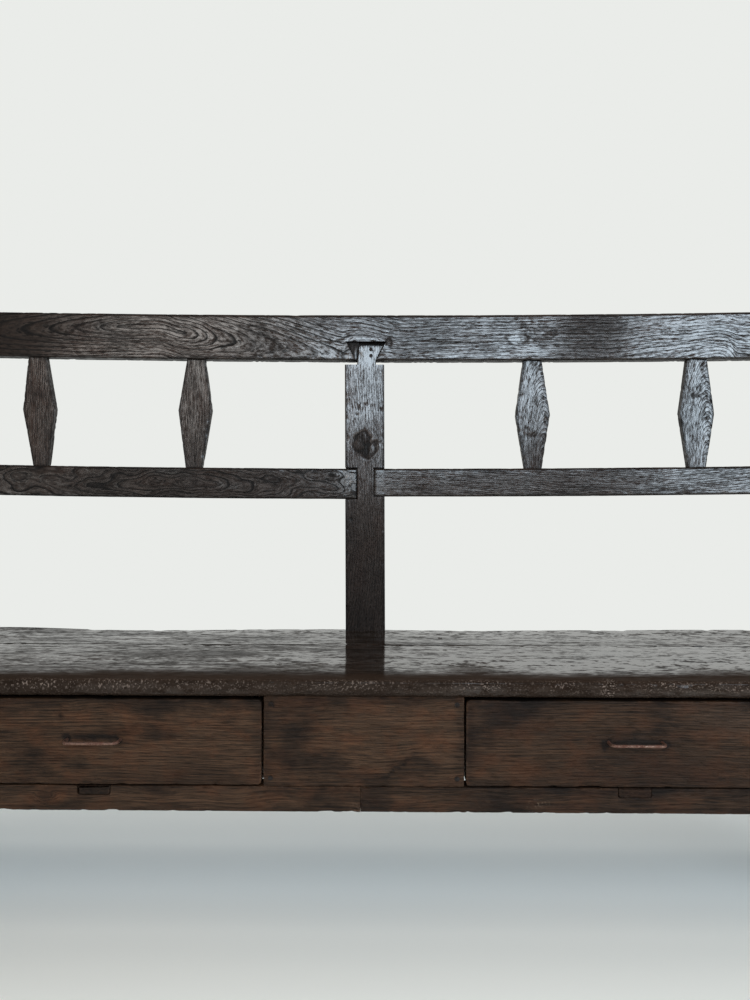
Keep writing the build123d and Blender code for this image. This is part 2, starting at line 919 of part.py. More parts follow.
def make_pieces():
    """Every piece of the bench by its name."""
    pegs = make_frame_pegs()
    seat_pegs = make_seat_pegs()
    case_nails = make_case_nails()
    stile_nails = make_stile_nails()
    mortises = []
    pieces = {}
    for name, shape in baluster_shapes().items():
        pieces[name] = make_baluster(shape)
        mortises.extend(baluster_tenons(shape, tenon_play))
    pieces["top_rail"] = make_top_rail(pegs, stile_nails, mortises)
    pieces["centre_stile"] = make_centre_stile(stile_nails)
    pieces["dovetail_wedge"] = make_dovetail_wedge()
    pieces["back_apron"] = make_back_apron(pegs, stile_nails)
    pieces["seat_front_plank"] = make_seat_front_plank(seat_pegs)
    pieces["seat_back_plank"] = make_seat_back_plank(seat_pegs)
    pieces["centre_panel"] = make_centre_panel(case_nails)
    pieces["front_rail_cleat"] = make_rail_cleat(case_nails)
    for word, side in (("left", left_side), ("right", right_side)):
        pieces[f"front_leg_{word}"] = make_front_leg(side, pegs)
        pieces[f"back_post_{word}"] = make_back_post(side, pegs)
        pieces[f"end_apron_{word}"] = make_end_apron(side, pegs, seat_pegs)
        pieces[f"front_rail_{word}"] = make_front_rail(side, pegs, case_nails)
        pieces[f"end_panel_{word}"] = make_end_panel(side, case_nails)
        pieces[f"lower_rail_{word}"] = make_lower_rail(side, pegs, stile_nails, mortises)
        pieces[f"drawer_bearer_{word}"] = bearer_bar(side)
        inner = make_divider(side * inner_divider_centre, case_nails, seat_pegs)
        outer = make_divider(side * outer_divider_centre, case_nails, seat_pegs)
        pieces[f"inner_divider_{word}"] = inner
        pieces[f"outer_divider_{word}"] = outer
        nails = make_drawer_nails(side)
        pieces[f"{word}_drawer_front"] = make_drawer_front(side, nails)
        pieces[f"{word}_drawer_left_side"] = make_drawer_side(side, -1, nails)
        pieces[f"{word}_drawer_right_side"] = make_drawer_side(side, 1, nails)
        pieces[f"{word}_drawer_back"] = make_drawer_back(side, nails)
        pieces[f"{word}_drawer_bottom"] = make_drawer_bottom(side, nails)
        pieces[f"{word}_drawer_pull"] = make_pull(side)
        pieces[f"{word}_drawer_nails"] = Compound(children=nails)
    pieces["frame_pegs"] = Compound(children=pegs)
    pieces["seat_pegs"] = Compound(children=seat_pegs)
    pieces["case_nails"] = Compound(children=case_nails)
    pieces["stile_nails"] = Compound(children=stile_nails)
    return pieces


os.makedirs("parts", exist_ok=True)
for piece_name, piece in make_pieces().items():
    export_step(piece, f"parts/{piece_name}.step")
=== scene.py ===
"""Looks of a long settle bench: worn dark boards, bent iron pulls and a pale studio around them."""

from __future__ import annotations

import logging
import math
from dataclasses import dataclass, field, replace
from enum import Enum
from functools import partial
from typing import Any, ClassVar, Optional, Union

import bmesh
import bpy
import numpy as np
from mathutils import Matrix, Vector


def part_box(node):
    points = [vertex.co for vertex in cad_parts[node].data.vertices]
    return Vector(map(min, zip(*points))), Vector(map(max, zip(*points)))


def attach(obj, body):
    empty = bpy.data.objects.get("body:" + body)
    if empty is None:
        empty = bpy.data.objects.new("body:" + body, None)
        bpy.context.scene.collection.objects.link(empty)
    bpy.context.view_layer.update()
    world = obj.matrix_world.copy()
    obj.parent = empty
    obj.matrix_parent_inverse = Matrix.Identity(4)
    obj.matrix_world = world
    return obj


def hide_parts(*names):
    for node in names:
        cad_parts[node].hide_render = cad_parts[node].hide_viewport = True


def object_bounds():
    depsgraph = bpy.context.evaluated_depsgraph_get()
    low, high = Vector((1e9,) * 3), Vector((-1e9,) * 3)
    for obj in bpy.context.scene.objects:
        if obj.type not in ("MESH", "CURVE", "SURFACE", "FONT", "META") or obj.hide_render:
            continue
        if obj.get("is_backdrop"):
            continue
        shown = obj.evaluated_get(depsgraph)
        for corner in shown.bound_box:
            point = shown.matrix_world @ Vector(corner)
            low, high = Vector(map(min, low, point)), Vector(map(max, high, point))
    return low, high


Span = tuple[float, float]
Point = tuple[float, float, float]
Colour = tuple[float, float, float, float]

SIDES = ("left", "right")
BENCH = "bench"
LOG = logging.getLogger(BENCH)

# Where the scene starts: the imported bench, in metres
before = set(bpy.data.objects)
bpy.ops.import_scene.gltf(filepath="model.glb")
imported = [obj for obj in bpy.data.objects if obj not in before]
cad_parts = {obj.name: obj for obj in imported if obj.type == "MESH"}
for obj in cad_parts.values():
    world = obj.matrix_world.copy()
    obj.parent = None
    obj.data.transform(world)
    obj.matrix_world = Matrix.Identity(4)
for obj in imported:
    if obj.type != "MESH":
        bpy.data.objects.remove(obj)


# Helpers for sizes and colours


class Axis(Enum):
    """Directions of the bench's own frame."""

    X = 0
    Y = 1
    Z = 2


class Lay(Enum):
    """How a board lies: the axes of its length, its width and its depth."""

    RAIL = (Axis.X, Axis.Z, Axis.Y)
    PLANK = (Axis.X, Axis.Y, Axis.Z)
    POST = (Axis.Z, Axis.X, Axis.Y)
    SIDE = (Axis.Y, Axis.Z, Axis.X)
    BEARER = (Axis.Y, Axis.X, Axis.Z)

    @property
    def turns_right(self) -> bool:
        """True where length, width and depth form a right-handed set."""
        length, width, depth = (axis.value for axis in self.value)
        return (width - length) % 3 == 1 and (depth - width) % 3 == 1


@dataclass(frozen=True)
class Extent:
    """Lowest and highest corner of a CAD node at rest."""

    low: Point
    high: Point

    @classmethod
    def of(cls, node: str) -> Extent:
        """Extent of the named CAD node."""
        low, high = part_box(node)
        return cls(tuple(low), tuple(high))

    def span(self, axis: Axis) -> Span:
        """Lowest and highest place on one axis."""
        return self.low[axis.value], self.high[axis.value]

    def middle(self, axis: Axis) -> float:
        """Middle place on one axis."""
        return (self.low[axis.value] + self.high[axis.value]) / 2

    def within(self, axis: Axis, span: Span) -> Extent:
        """This extent, cut to a span on one axis.

        Args:
            axis: The axis.
            span: The lowest and the highest place that are left.

        Returns:
            The cut extent.
        """
        low, high = list(self.low), list(self.high)
        low[axis.value] = max(low[axis.value], span[0])
        high[axis.value] = min(high[axis.value], span[1])
        return Extent(tuple(low), tuple(high))


def extent_of(node: str) -> Any:
    """Dataclass field whose default is the extent of a CAD node."""
    return field(default_factory=lambda: Extent.of(node))


def tint(red: int, green: int, blue: int) -> Colour:
    """Linear colour of a display colour.

    Args:
        red: Red from 0 to 255.
        green: Green from 0 to 255.
        blue: Blue from 0 to 255.

    Returns:
        The colour in linear light, with full alpha.
    """
    shares = [channel / 255 for channel in (red, green, blue)]
    linear = [s / 12.92 if s <= 0.04045 else ((s + 0.055) / 1.055) ** 2.4 for s in shares]
    return (*linear, 1.0)


# Smooth noise and the way a board lay in its tree


@dataclass(frozen=True)
class Ripple:
    """Smooth noise made of plane waves with seeded directions, lengths and phases."""

    seed: int
    shortest: float
    longest: float
    waves: int = 28

    def at(self, points: np.ndarray) -> np.ndarray:
        """Noise of about unit spread: the sum of sin(2 pi p.d / length + phase) over the waves.

        Args:
            points: Places with their three coordinates on the last axis.

        Returns:
            One value for each place.
        """
        rng = np.random.default_rng(self.seed)
        ways = rng.normal(size=(self.waves, 3))
        ways /= np.linalg.norm(ways, axis=1, keepdims=True)
        lengths = np.exp(rng.uniform(math.log(self.shortest), math.log(self.longest), self.waves))
        phases = rng.uniform(0, 2 * math.pi, self.waves)
        angles = points @ (2 * math.pi * ways / lengths[:, None]).T + phases
        return np.sin(angles).sum(axis=-1) / math.sqrt(self.waves / 2)


def smooth_course(places: np.ndarray, knots: list[float], values: list[float]) -> np.ndarray:
    """Value along a course: between two knots it follows the smooth step 3 t^2 - 2 t^3 of the share t.

    Args:
        places: Places along the course.
        knots: Places of the given values, in order.
        values: The given values.

    Returns:
        One value for each place.
    """
    count = np.arange(len(knots))
    share = np.interp(places, knots, count)
    step = share - np.floor(share)
    eased = np.floor(share) + step * step * (3 - 2 * step)
    return np.interp(eased, count, values)


@dataclass(frozen=True)
class Heart:
    """One place on the path of the tree's pith: along, across and through the board."""

    along: float
    across: float
    through: float


@dataclass(frozen=True)
class Log:
    """The log that a board was sawn from: the path of its pith and the width of its rings."""

    hearts: tuple[Heart, ...]
    shift: float = 0.0
    ring: float = 0.0055
    wander: float = 0.0012
    wander_length: Span = (0.025, 0.14)
    stretch: float = 0.35

    def at(self, along: np.ndarray, across: np.ndarray, through: np.ndarray) -> np.ndarray:
        """Place in the log: along it, and sideways and inwards from the pith.

        Between two hearts the pith runs straight through the board and in a smooth step across it.

        Args:
            along: Places on the board's length.
            across: Places on its width.
            through: Places on its depth.

        Returns:
            The three log coordinates on the last axis.
        """
        knots = [heart.along for heart in self.hearts]
        pith_across = smooth_course(along, knots, [heart.across for heart in self.hearts])
        pith_through = np.interp(along, knots, [heart.through for heart in self.hearts])
        return np.stack([along + self.shift, across - pith_across, through - pith_through], axis=-1)

    def reach(self, logs: np.ndarray, seed: int) -> np.ndarray:
        """Distance from the pith, with a smooth error."""
        error = Ripple(seed, *self.wander_length).at(logs * (self.stretch, 1.0, 1.0))
        return np.hypot(logs[..., 1], logs[..., 2]) + self.wander * error


class Trace(Enum):
    """Kinds of local marks, with their place in the marks attribute."""

    DARK = 0
    POLISH = 1
    PALE = 2


@dataclass(frozen=True)
class Mark:
    """A soft local mark on a board: knot, staining, painted shade, polished patch or scuff."""

    trace: Trace
    along: float
    across: float
    long: float
    broad: float
    strength: float = 1.0
    swirl: float = 0.0
    slope: float = 0.0
    rim: float = 0.0
    firmness: float = 1.0
    dent: float = 0.0
    deeper_than: float = -math.inf

    def at(self, along: np.ndarray, across: np.ndarray, through: np.ndarray) -> np.ndarray:
        """Strength of the mark: exp(-d^2f) for its firmness f, or on a rim exp(-((d - 1) / rim)^2).

        Here d is the distance from the mark's middle, measured in its own size.

        Args:
            along: Places on the board's length.
            across: Places on its width.
            through: Places on its depth.

        Returns:
            One strength for each place.
        """
        across_here = across - self.across - self.slope * (along - self.along)
        reach = np.hypot((along - self.along) / self.long, across_here / self.broad)
        power = ((reach - 1) / self.rim) ** 2 if self.rim else reach ** (2 * self.firmness)
        return np.where(through > self.deeper_than, self.strength * np.exp(-power), 0.0)


# Size of a mark that runs all along a board
ENDLESS = 9.0

# The kinds of marks, each from its place along and across a board, its length, breadth and strength
# Dark marks are knots, staining and dirt, and also painted shade under, beside and behind parts
stain_and_shade = partial(Mark, Trace.DARK)
polished = partial(Mark, Trace.POLISH)
scuffed = partial(Mark, Trace.PALE)


# Boards as profiles carried along their length


def quarter_turn(steps: int) -> np.ndarray:
    """Angles of a quarter turn in equal steps."""
    return np.linspace(0, math.pi / 2, steps + 1)


def rounding(radius: float, steps: int) -> tuple[np.ndarray, np.ndarray]:
    """Ways r - r cos(a) and r - r sin(a) from a corner's two sides, for angles a of a quarter turn."""
    turn = quarter_turn(steps)
    return radius * (1 - np.cos(turn)), radius * (1 - np.sin(turn))


@dataclass(frozen=True)
class Section:
    """Cross-section of a board at one place along its length: a rectangle."""

    place: float
    wide: Span
    deep: Span

    # Which of the four arrises each corner is: front low, front high, back high, back low
    arris_of: ClassVar[tuple[Optional[int], ...]] = (0, 1, 2, 3)

    def corners(self) -> list[Span]:
        """Corners in order, as pairs of width and depth."""
        (low, high), (front, back) = self.wide, self.deep
        return [(low, front), (high, front), (high, back), (low, back)]


@dataclass(frozen=True)
class SocketSection(Section):
    """Rectangle with a pocket in its front face."""

    pocket: Span = (0.0, 0.0)
    floor: float = 0.0
    open_below: bool = False

    arris_of: ClassVar[tuple[Optional[int], ...]] = (0, None, None, None, None, 1, 2, 3)

    def corners(self) -> list[Span]:
        """Corners in order, with the pocket's four between the two front arrises.

        Returns:
            Pairs of width and depth.
        """
        (low, high), (front, back) = self.wide, self.deep
        start, end = self.pocket
        lip = self.floor if self.open_below else front
        pocket = [(start, lip), (start, self.floor), (end, self.floor), (end, front)]
        return [(low, lip), *pocket, (high, front), (high, back), (low, back)]


@dataclass(frozen=True)
class StepSection(Section):
    """Rectangle whose front layer is narrower than its back layer."""

    face: Span = (0.0, 0.0)
    step: float = 0.0

    arris_of: ClassVar[tuple[Optional[int], ...]] = (0, 1, None, None, 2, 3, None, None)

    def corners(self) -> list[Span]:
        """Corners in order, with the two steps of the sides.

        Returns:
            Pairs of width and depth.
        """
        (low, high), (front, back) = self.wide, self.deep
        left, right = self.face
        step = min(max(self.step, front), back)
        return [
            (left, front), (right, front), (right, step), (high, step),
            (high, back), (low, back), (low, step), (left, step),
        ]


@dataclass(frozen=True)
class Wear:
    """How far use and the plane have taken a board's faces and arrises back."""

    face: float = 0.0004
    nick: float = 0.0012
    nick_reach: float = 0.004
    wave_length: Span = (0.06, 0.4)
    nick_length: Span = (0.008, 0.05)
    nick_start: float = 0.5


@dataclass(frozen=True)
class Bow:
    """Sag of a long rail: it climbs as the square of the distance from the middle."""

    span: float
    rise: float

    def at(self, places: np.ndarray) -> np.ndarray:
        """Climb at places along the rail."""
        return self.rise * (places / self.span) ** 2


@dataclass(frozen=True)
class Warp:
    """Slow wave of a plank, which grows from nothing at one edge to its full lift at the other."""

    start: float
    end: float
    places: tuple[float, ...]
    lifts: tuple[float, ...]

    def at(self, along: np.ndarray, across: np.ndarray) -> np.ndarray:
        """Lift: a smooth course through the given lifts, times the squared share of the way across."""
        share = np.clip((across - self.start) / (self.end - self.start), 0, 1)
        return smooth_course(along, list(self.places), list(self.lifts)) * share**2


def even(*radii: float) -> tuple[Span, ...]:
    """Arrises that are as round across a board as through it: one radius for all four, or four."""
    pairs = tuple((radius, radius) for radius in radii)
    return pairs if len(pairs) > 1 else pairs * 4


@dataclass(frozen=True)
class Board:
    """One board in place of a CAD node: a rounded profile carried along a straight or bowed length."""

    node: str
    lay: Lay
    sections: tuple[Section, ...]
    log: Log
    arrises: tuple[Span, ...] = even(0.0015)
    end_arris: float = 0.0015
    cell: float = 0.006
    wear: Wear = Wear()
    bow: Optional[Bow] = None
    warp: Optional[Warp] = None
    marks: tuple[Mark, ...] = ()
    seed: int = 1
    arc_steps: int = 3

    CROWDING: ClassVar[float] = 0.7
    UNEVEN: ClassVar[float] = 0.0016
    UNEVEN_LENGTH: ClassVar[Span] = (0.010, 0.050)
    # Ways into and out of the four arrises, going round the section
    WAYS: ClassVar[np.ndarray] = np.array(
        [[(0, -1), (1, 0)], [(1, 0), (0, 1)], [(0, 1), (-1, 0)], [(-1, 0), (0, -1)]], float
    )

    def stations(self) -> tuple[np.ndarray, np.ndarray, np.ndarray]:
        """Places, corners and corner radii along the board, with rounded ends.

        At an end the section shrinks by r - r sin(a) at the place r - r cos(a), for angles a of a
        quarter turn. Between two sections the corners move in proportion to the place.

        Returns:
            Places (S), corners (S, K, 2) and radii (S, K, 2).
        """
        kind = type(self.sections[0])
        corners = np.array([section.corners() for section in self.sections])
        places = np.array([section.place for section in self.sections])
        radii = np.array([(0.0, 0.0) if i is None else self.arrises[i] for i in kind.arris_of])
        radii = np.repeat(radii[None], len(places), axis=0)
        if self.end_arris:
            back, inset = rounding(self.end_arris, self.arc_steps)
            inward = np.array([leave - come for come, leave in self.WAYS])
            moved = inset[:, None, None] * inward[None]
            shrunk = np.maximum(radii[:1] - inset[:, None, None], 0)
            first = corners[:1] + moved
            last = (corners[-1:] + moved)[::-1]
            corners = np.concatenate([first, corners[1:-1], last])
            places = np.concatenate([places[0] + back, places[1:-1], (places[-1] - back)[::-1]])
            radii = np.concatenate([shrunk, radii[1:-1], shrunk[::-1]])
        gaps = np.abs(np.diff(places))
        counts = np.maximum(1, np.ceil(gaps / self.cell)).astype(int)
        shares = [i + np.arange(n) / n for i, n in enumerate(counts)]
        share = np.concatenate([*shares, [len(counts)]])
        index = np.minimum(share.astype(int), len(counts) - 1)
        part = share - index

        def between(values: np.ndarray) -> np.ndarray:
            """Values at the stations, in proportion between those of the sections."""
            step = part.reshape(-1, *[1] * (values.ndim - 1))
            return values[index] + (values[index + 1] - values[index]) * step

        return between(places), between(corners), between(radii)

    def rings(self, corners: np.ndarray, radii: np.ndarray) -> tuple[np.ndarray, np.ndarray]:
        """Points round the section at every station, and the outward way of each.

        An arris of radii r is the quarter oval r (come sin a - leave cos a) about its centre. A side
        is divided at t - k sin(2 pi t) / 2 pi, which crowds the points towards the arrises.

        Args:
            corners: Corners (S, K, 2).
            radii: Corner radii across and through the board (S, K, 2).

        Returns:
            Points (S, P, 2) and ways (P, 2).
        """
        kind = type(self.sections[0])
        turn = quarter_turn(self.arc_steps)
        rounded: list[np.ndarray] = []
        ways: list[np.ndarray] = []
        for k, arris in enumerate(kind.arris_of):
            here = corners[:, k, None, :]
            if arris is None:
                rounded.append(here)
                ways.append(np.zeros((1, 2)))
                continue
            come, leave = self.WAYS[arris]
            outward = np.outer(np.sin(turn), come) - np.outer(np.cos(turn), leave)
            radius = radii[:, k, None, :]
            rounded.append(here + radius * (leave - come) + radius * outward)
            ways.append(outward)
        points: list[np.ndarray] = []
        out: list[np.ndarray] = []
        for k, arc in enumerate(rounded):
            following = rounded[(k + 1) % len(rounded)]
            longest = np.linalg.norm(following[:, 0] - arc[:, -1], axis=1).max()
            steps = max(1, math.ceil(longest / self.cell))
            share = np.arange(1, steps) / steps
            share = share - self.CROWDING * np.sin(2 * math.pi * share) / (2 * math.pi)
            side = arc[:, -1:] + (following[:, :1] - arc[:, -1:]) * share[None, :, None]
            points.extend([arc, side])
            out.extend([ways[k], np.repeat(ways[k][-1:], len(share), axis=0)])
        return np.concatenate(points, axis=1), np.concatenate(out, axis=0)

    def in_frame(self, along: np.ndarray, across: np.ndarray, through: np.ndarray) -> np.ndarray:
        """Points in the bench's frame.

        Args:
            along: Places on the board's length.
            across: Places on its width.
            through: Places on its depth.

        Returns:
            The points, with their three coordinates on the last axis.
        """
        points = np.empty((*along.shape, 3))
        for axis, values in zip(self.lay.value, (along, across, through)):
            points[..., axis.value] = values
        return points

    def worn(self, full: np.ndarray, edge: np.ndarray) -> np.ndarray:
        """How far wear has taken each point back.

        That is face (1 + n / 2) / 2 for a smooth noise n, and near an arris also a nick, which fades
        as exp(-distance / reach).

        Args:
            full: Points of the board before its wear.
            edge: Distance of each point from the nearest arris.

        Returns:
            One depth for each point.
        """
        wear = self.wear
        swell = Ripple(self.seed, *wear.wave_length).at(full)
        nicks = Ripple(self.seed + 1, *wear.nick_length).at(full)
        taken = wear.face * np.clip(1 + swell / 2, 0, 2) / 2
        return taken + wear.nick * np.clip(nicks - wear.nick_start, 0, 2) * np.exp(-edge / wear.nick_reach)

    def build(self) -> bpy.types.Object:
        """Makes the board's mesh, worn back from its full size, with its wood attributes.

        A point moves inwards by its wear and by the dents of the marks. The marks are uneven, as they
        are read at places that stray by a noise.

        Returns:
            The new object, linked to the scene.
        """
        places, corners, radii = self.stations()
        ring, way = self.rings(corners, radii)
        along = np.repeat(places[:, None], ring.shape[1], axis=1)
        low = corners.min(axis=1)[:, None, :]
        high = corners.max(axis=1)[:, None, :]
        to_side = np.minimum(ring - low, high - ring)
        to_end = np.minimum(along - places[0], places[-1] - along)
        edge = np.sort(np.concatenate([to_side, to_end[..., None]], axis=-1), axis=-1)[..., 1]
        climb = 0.0 if self.bow is None else self.bow.at(along)
        full = self.in_frame(along, ring[..., 0] + climb, ring[..., 1])
        stray = [self.UNEVEN * Ripple(self.seed + i, *self.UNEVEN_LENGTH).at(full) for i in (3, 4)]
        strengths = [
            mark.at(along + stray[0], ring[..., 0] + climb + stray[1], ring[..., 1]) for mark in self.marks
        ]
        taken = self.worn(full, edge)
        for mark, strength in zip(self.marks, strengths):
            taken = taken + mark.dent * strength
        ring = ring - taken[..., None] * way[None]
        across = ring[..., 0] + climb
        through = ring[..., 1]
        lift = 0.0 if self.warp is None else self.warp.at(along, across)
        points = self.in_frame(along, across, through + lift)
        logs = self.log.at(along, across, through)
        traces = np.zeros((*along.shape, 3))
        for mark, strength in zip(self.marks, strengths):
            traces[..., mark.trace.value] += strength
            logs[..., 2] += mark.swirl * strength
        reach = self.log.reach(logs, self.seed + 2)
        piece = closed_surface(f"{self.node}_board", points, self.lay.turns_right)
        store(piece, "log", np.stack([logs[..., 0], logs[..., 1], reach], axis=-1))
        store(piece, "rings", reach / self.log.ring)
        store(piece, "edge", edge)
        store(piece, "marks", traces)
        weld(piece)
        return piece


def closed_surface(name: str, rings: np.ndarray, turns_right: bool) -> bpy.types.Object:
    """Object from rings of points: quads between neighbouring rings and a flat cap at both ends.

    Args:
        name: Name of the piece.
        rings: Points (S, P, 3); each ring is closed.
        turns_right: Whether the rings turn to the right along the piece.

    Returns:
        The new object, with its faces outwards.
    """
    stations, round_count = rings.shape[:2]
    first = np.arange(stations * round_count).reshape(stations, round_count)
    beside = np.roll(first, -1, axis=1)
    quads = np.stack([first[:-1], beside[:-1], beside[1:], first[1:]], axis=-1).reshape(-1, 4)
    start, end = first[0][::-1], first[-1]
    if not turns_right:
        quads = quads[:, ::-1]
        start, end = start[::-1], end[::-1]
    corners = np.concatenate([quads.ravel(), start, end])
    starts = np.concatenate([np.arange(len(quads)) * 4, len(quads) * 4 + np.array([0, round_count])])
    mesh = bpy.data.meshes.new(name)
    mesh.vertices.add(stations * round_count)
    mesh.vertices.foreach_set("co", rings.astype(np.float32).ravel())
    mesh.loops.add(len(corners))
    mesh.loops.foreach_set("vertex_index", corners.astype(np.int32))
    mesh.polygons.add(len(starts))
    mesh.polygons.foreach_set("loop_start", starts.astype(np.int32))
    mesh.polygons.foreach_set("use_smooth", np.ones(len(starts), bool))
    mesh.update(calc_edges=True)
    mesh.validate()
    piece = bpy.data.objects.new(name, mesh)
    bpy.context.scene.collection.objects.link(piece)
    return piece


def store(piece: bpy.types.Object, name: str, values: np.ndarray) -> None:
    """Keeps one number or one vector for each point of a piece.

    Args:
        piece: The piece.
        name: Name of the attribute.
        values: Numbers on the grid of points, or vectors on its last axis.
    """
    is_vector = values.ndim == 3
    kind, key = ("FLOAT_VECTOR", "vector") if is_vector else ("FLOAT", "value")
    attribute = piece.data.attributes.new(name, kind, "POINT")
    attribute.data.foreach_set(key, values.astype(np.float32).ravel())


SHARP_ANGLE = math.radians(50)
WELD_DISTANCE = 1e-6


def weld(piece: bpy.types.Object) -> None:
    """Merges points that fall together and keeps the steps of a piece crisp.

    Args:
        piece: The piece.
    """
    mesh = bmesh.new()
    mesh.from_mesh(piece.data)
    bmesh.ops.remove_doubles(mesh, verts=mesh.verts, dist=WELD_DISTANCE)
    mesh.to_mesh(piece.data)
    mesh.free()
    piece.data.set_sharp_from_angle(angle=SHARP_ANGLE)


# Shader expressions


Number = Union[float, "Tone"]


@dataclass(frozen=True)
class Tone:
    """A value on a surface: a shader socket that takes part in Python expressions."""

    paint: Paint
    socket: bpy.types.NodeSocket

    def maths(self, operation: str, *others: Number) -> Tone:
        """Value of a maths operation on this value and others."""
        inputs = dict(enumerate((self, *others)))
        return self.paint.out("ShaderNodeMath", {"operation": operation}, inputs)

    def __add__(self, other: Number) -> Tone:
        """Sum with a value."""
        return self.maths("ADD", other)

    __radd__ = __add__

    def __mul__(self, other: Number) -> Tone:
        """Product with a value."""
        return self.maths("MULTIPLY", other)

    __rmul__ = __mul__

    def __rsub__(self, other: float) -> Tone:
        """Number less this value."""
        return (self * -1.0) + other

    def __truediv__(self, other: float) -> Tone:
        """Share of a number."""
        return self * (1.0 / other)

    def __pow__(self, other: float) -> Tone:
        """Power of this value."""
        return self.maths("POWER", other)

    def fraction(self) -> Tone:
        """Part after the whole number."""
        return self.maths("FRACT")

    def floor(self) -> Tone:
        """Whole number below."""
        return self.maths("FLOOR")

    def root(self) -> Tone:
        """Square root."""
        return self.maths("SQRT")

    def rise(self, low: float, high: float) -> Tone:
        """Smooth step between two values.

        Args:
            low: The value where it leaves 0.
            high: The value where it reaches 1.

        Returns:
            The step, from 0 to 1.
        """
        settings = {"interpolation_type": "SMOOTHSTEP"}
        inputs = {"Value": self, "From Min": low, "From Max": high}
        return self.paint.out("ShaderNodeMapRange", settings, inputs)

    def fall(self, low: float, high: float) -> Tone:
        """Smooth step from 1 at the low value to 0 at the high value."""
        return 1.0 - self.rise(low, high)


def weighted(values: tuple[Tone, ...], shares: tuple[float, ...]) -> Tone:
    """Sum of values, each times its share."""
    first, *others = (value * share for value, share in zip(values, shares))
    return sum(others, first)


Setting = Union[str, bool, float]
Input = Union[float, Point, Colour, Tone]


class Paint:
    """The nodes of one material or world."""

    # Sockets of a Mix node that blends colours
    MIX_SHARE: ClassVar[int] = 0
    MIX_FIRST: ClassVar[int] = 6
    MIX_SECOND: ClassVar[int] = 7
    MIX_RESULT: ClassVar[int] = 2

    def __init__(self, tree: bpy.types.NodeTree) -> None:
        """Starts from an empty tree."""
        self.tree = tree
        tree.nodes.clear()

    @classmethod
    def material(cls, name: str) -> tuple[Paint, bpy.types.Material]:
        """Makes a material without nodes.

        Args:
            name: Name of the material.

        Returns:
            Its paint and the material.
        """
        material = bpy.data.materials.new(name)
        material.use_nodes = True
        return cls(material.node_tree), material

    def node(
        self,
        kind: str,
        settings: Optional[dict[str, Setting]] = None,
        inputs: Optional[dict[Union[str, int], Input]] = None,
    ) -> bpy.types.Node:
        """Adds any node.

        Args:
            kind: The node's type.
            settings: Its own settings, which are set first.
            inputs: Values or links of its sockets, by name or number.

        Returns:
            The new node.
        """
        node = self.tree.nodes.new(kind)
        for key, value in (settings or {}).items():
            setattr(node, key, value)
        for key, value in (inputs or {}).items():
            if isinstance(value, Tone):
                self.tree.links.new(value.socket, node.inputs[key])
            else:
                node.inputs[key].default_value = value
        return node

    def out(
        self,
        kind: str,
        settings: Optional[dict[str, Setting]] = None,
        inputs: Optional[dict[Union[str, int], Input]] = None,
        output: Union[str, int] = 0,
    ) -> Tone:
        """Adds any node and gives one of its outputs as a value."""
        return Tone(self, self.node(kind, settings, inputs).outputs[output])

    def attribute(self, name: str, output: str) -> Tone:
        """Attribute of the piece: its "Fac" or its "Vector"."""
        return self.out("ShaderNodeAttribute", {"attribute_name": name}, None, output)

    def parts(self, vector: Tone) -> tuple[Tone, Tone, Tone]:
        """The three numbers of a vector.

        Args:
            vector: The vector.

        Returns:
            Its x, y and z.
        """
        node = self.node("ShaderNodeSeparateXYZ", None, {0: vector})
        x, y, z = (Tone(self, output) for output in node.outputs)
        return x, y, z

    def vector(self, x: Number, y: Number, z: Number) -> Tone:
        """Vector of three numbers."""
        return self.out("ShaderNodeCombineXYZ", None, {0: x, 1: y, 2: z})

    def noise(self, place: Tone, detail: float = 2.0, roughness: float = 0.5) -> Tone:
        """Smooth noise from 0 to 1 at a place that is already scaled."""
        inputs = {"Vector": place, "Scale": 1.0, "Detail": detail, "Roughness": roughness}
        return self.out("ShaderNodeTexNoise", None, inputs)

    def object_place(self) -> Tone:
        """Place on the piece in its own frame."""
        return self.out("ShaderNodeTexCoord", None, None, "Object")

    def blend(self, share: Number, first: Input, second: Input) -> Tone:
        """Colour between two colours."""
        inputs = {self.MIX_SHARE: share, self.MIX_FIRST: first, self.MIX_SECOND: second}
        return self.out("ShaderNodeMix", {"data_type": "RGBA"}, inputs, self.MIX_RESULT)

    def finish(self, kind: str, shader: Tone) -> None:
        """Links a shader to the output of the tree."""
        self.node(kind, None, {"Surface": shader})


# Finishes


class Grain(Enum):
    """Where a wood finish reads its grain from: the board's own log, or the bench's upright axis."""

    LOG = "log"
    UPRIGHT = "upright"


@dataclass(frozen=True)
class Layers:
    """What the looks of wood are mixed from: values from 0 to 1, but for the polish."""

    fibre: Tone
    streak: Tone
    ridge: Tone
    blotch: Tone
    cloud: Tone
    glint: Tone
    early: Tone
    rings: Tone
    pores: Tone
    # Dark marks: staining, and painted shade under, beside and behind parts
    stains_and_shade: Tone
    polish: Tone
    # Darker near the arrises: partly dirt, partly painted shade
    grimy_and_shaded_edges: Tone
    worn: Tone
    specks: Tone


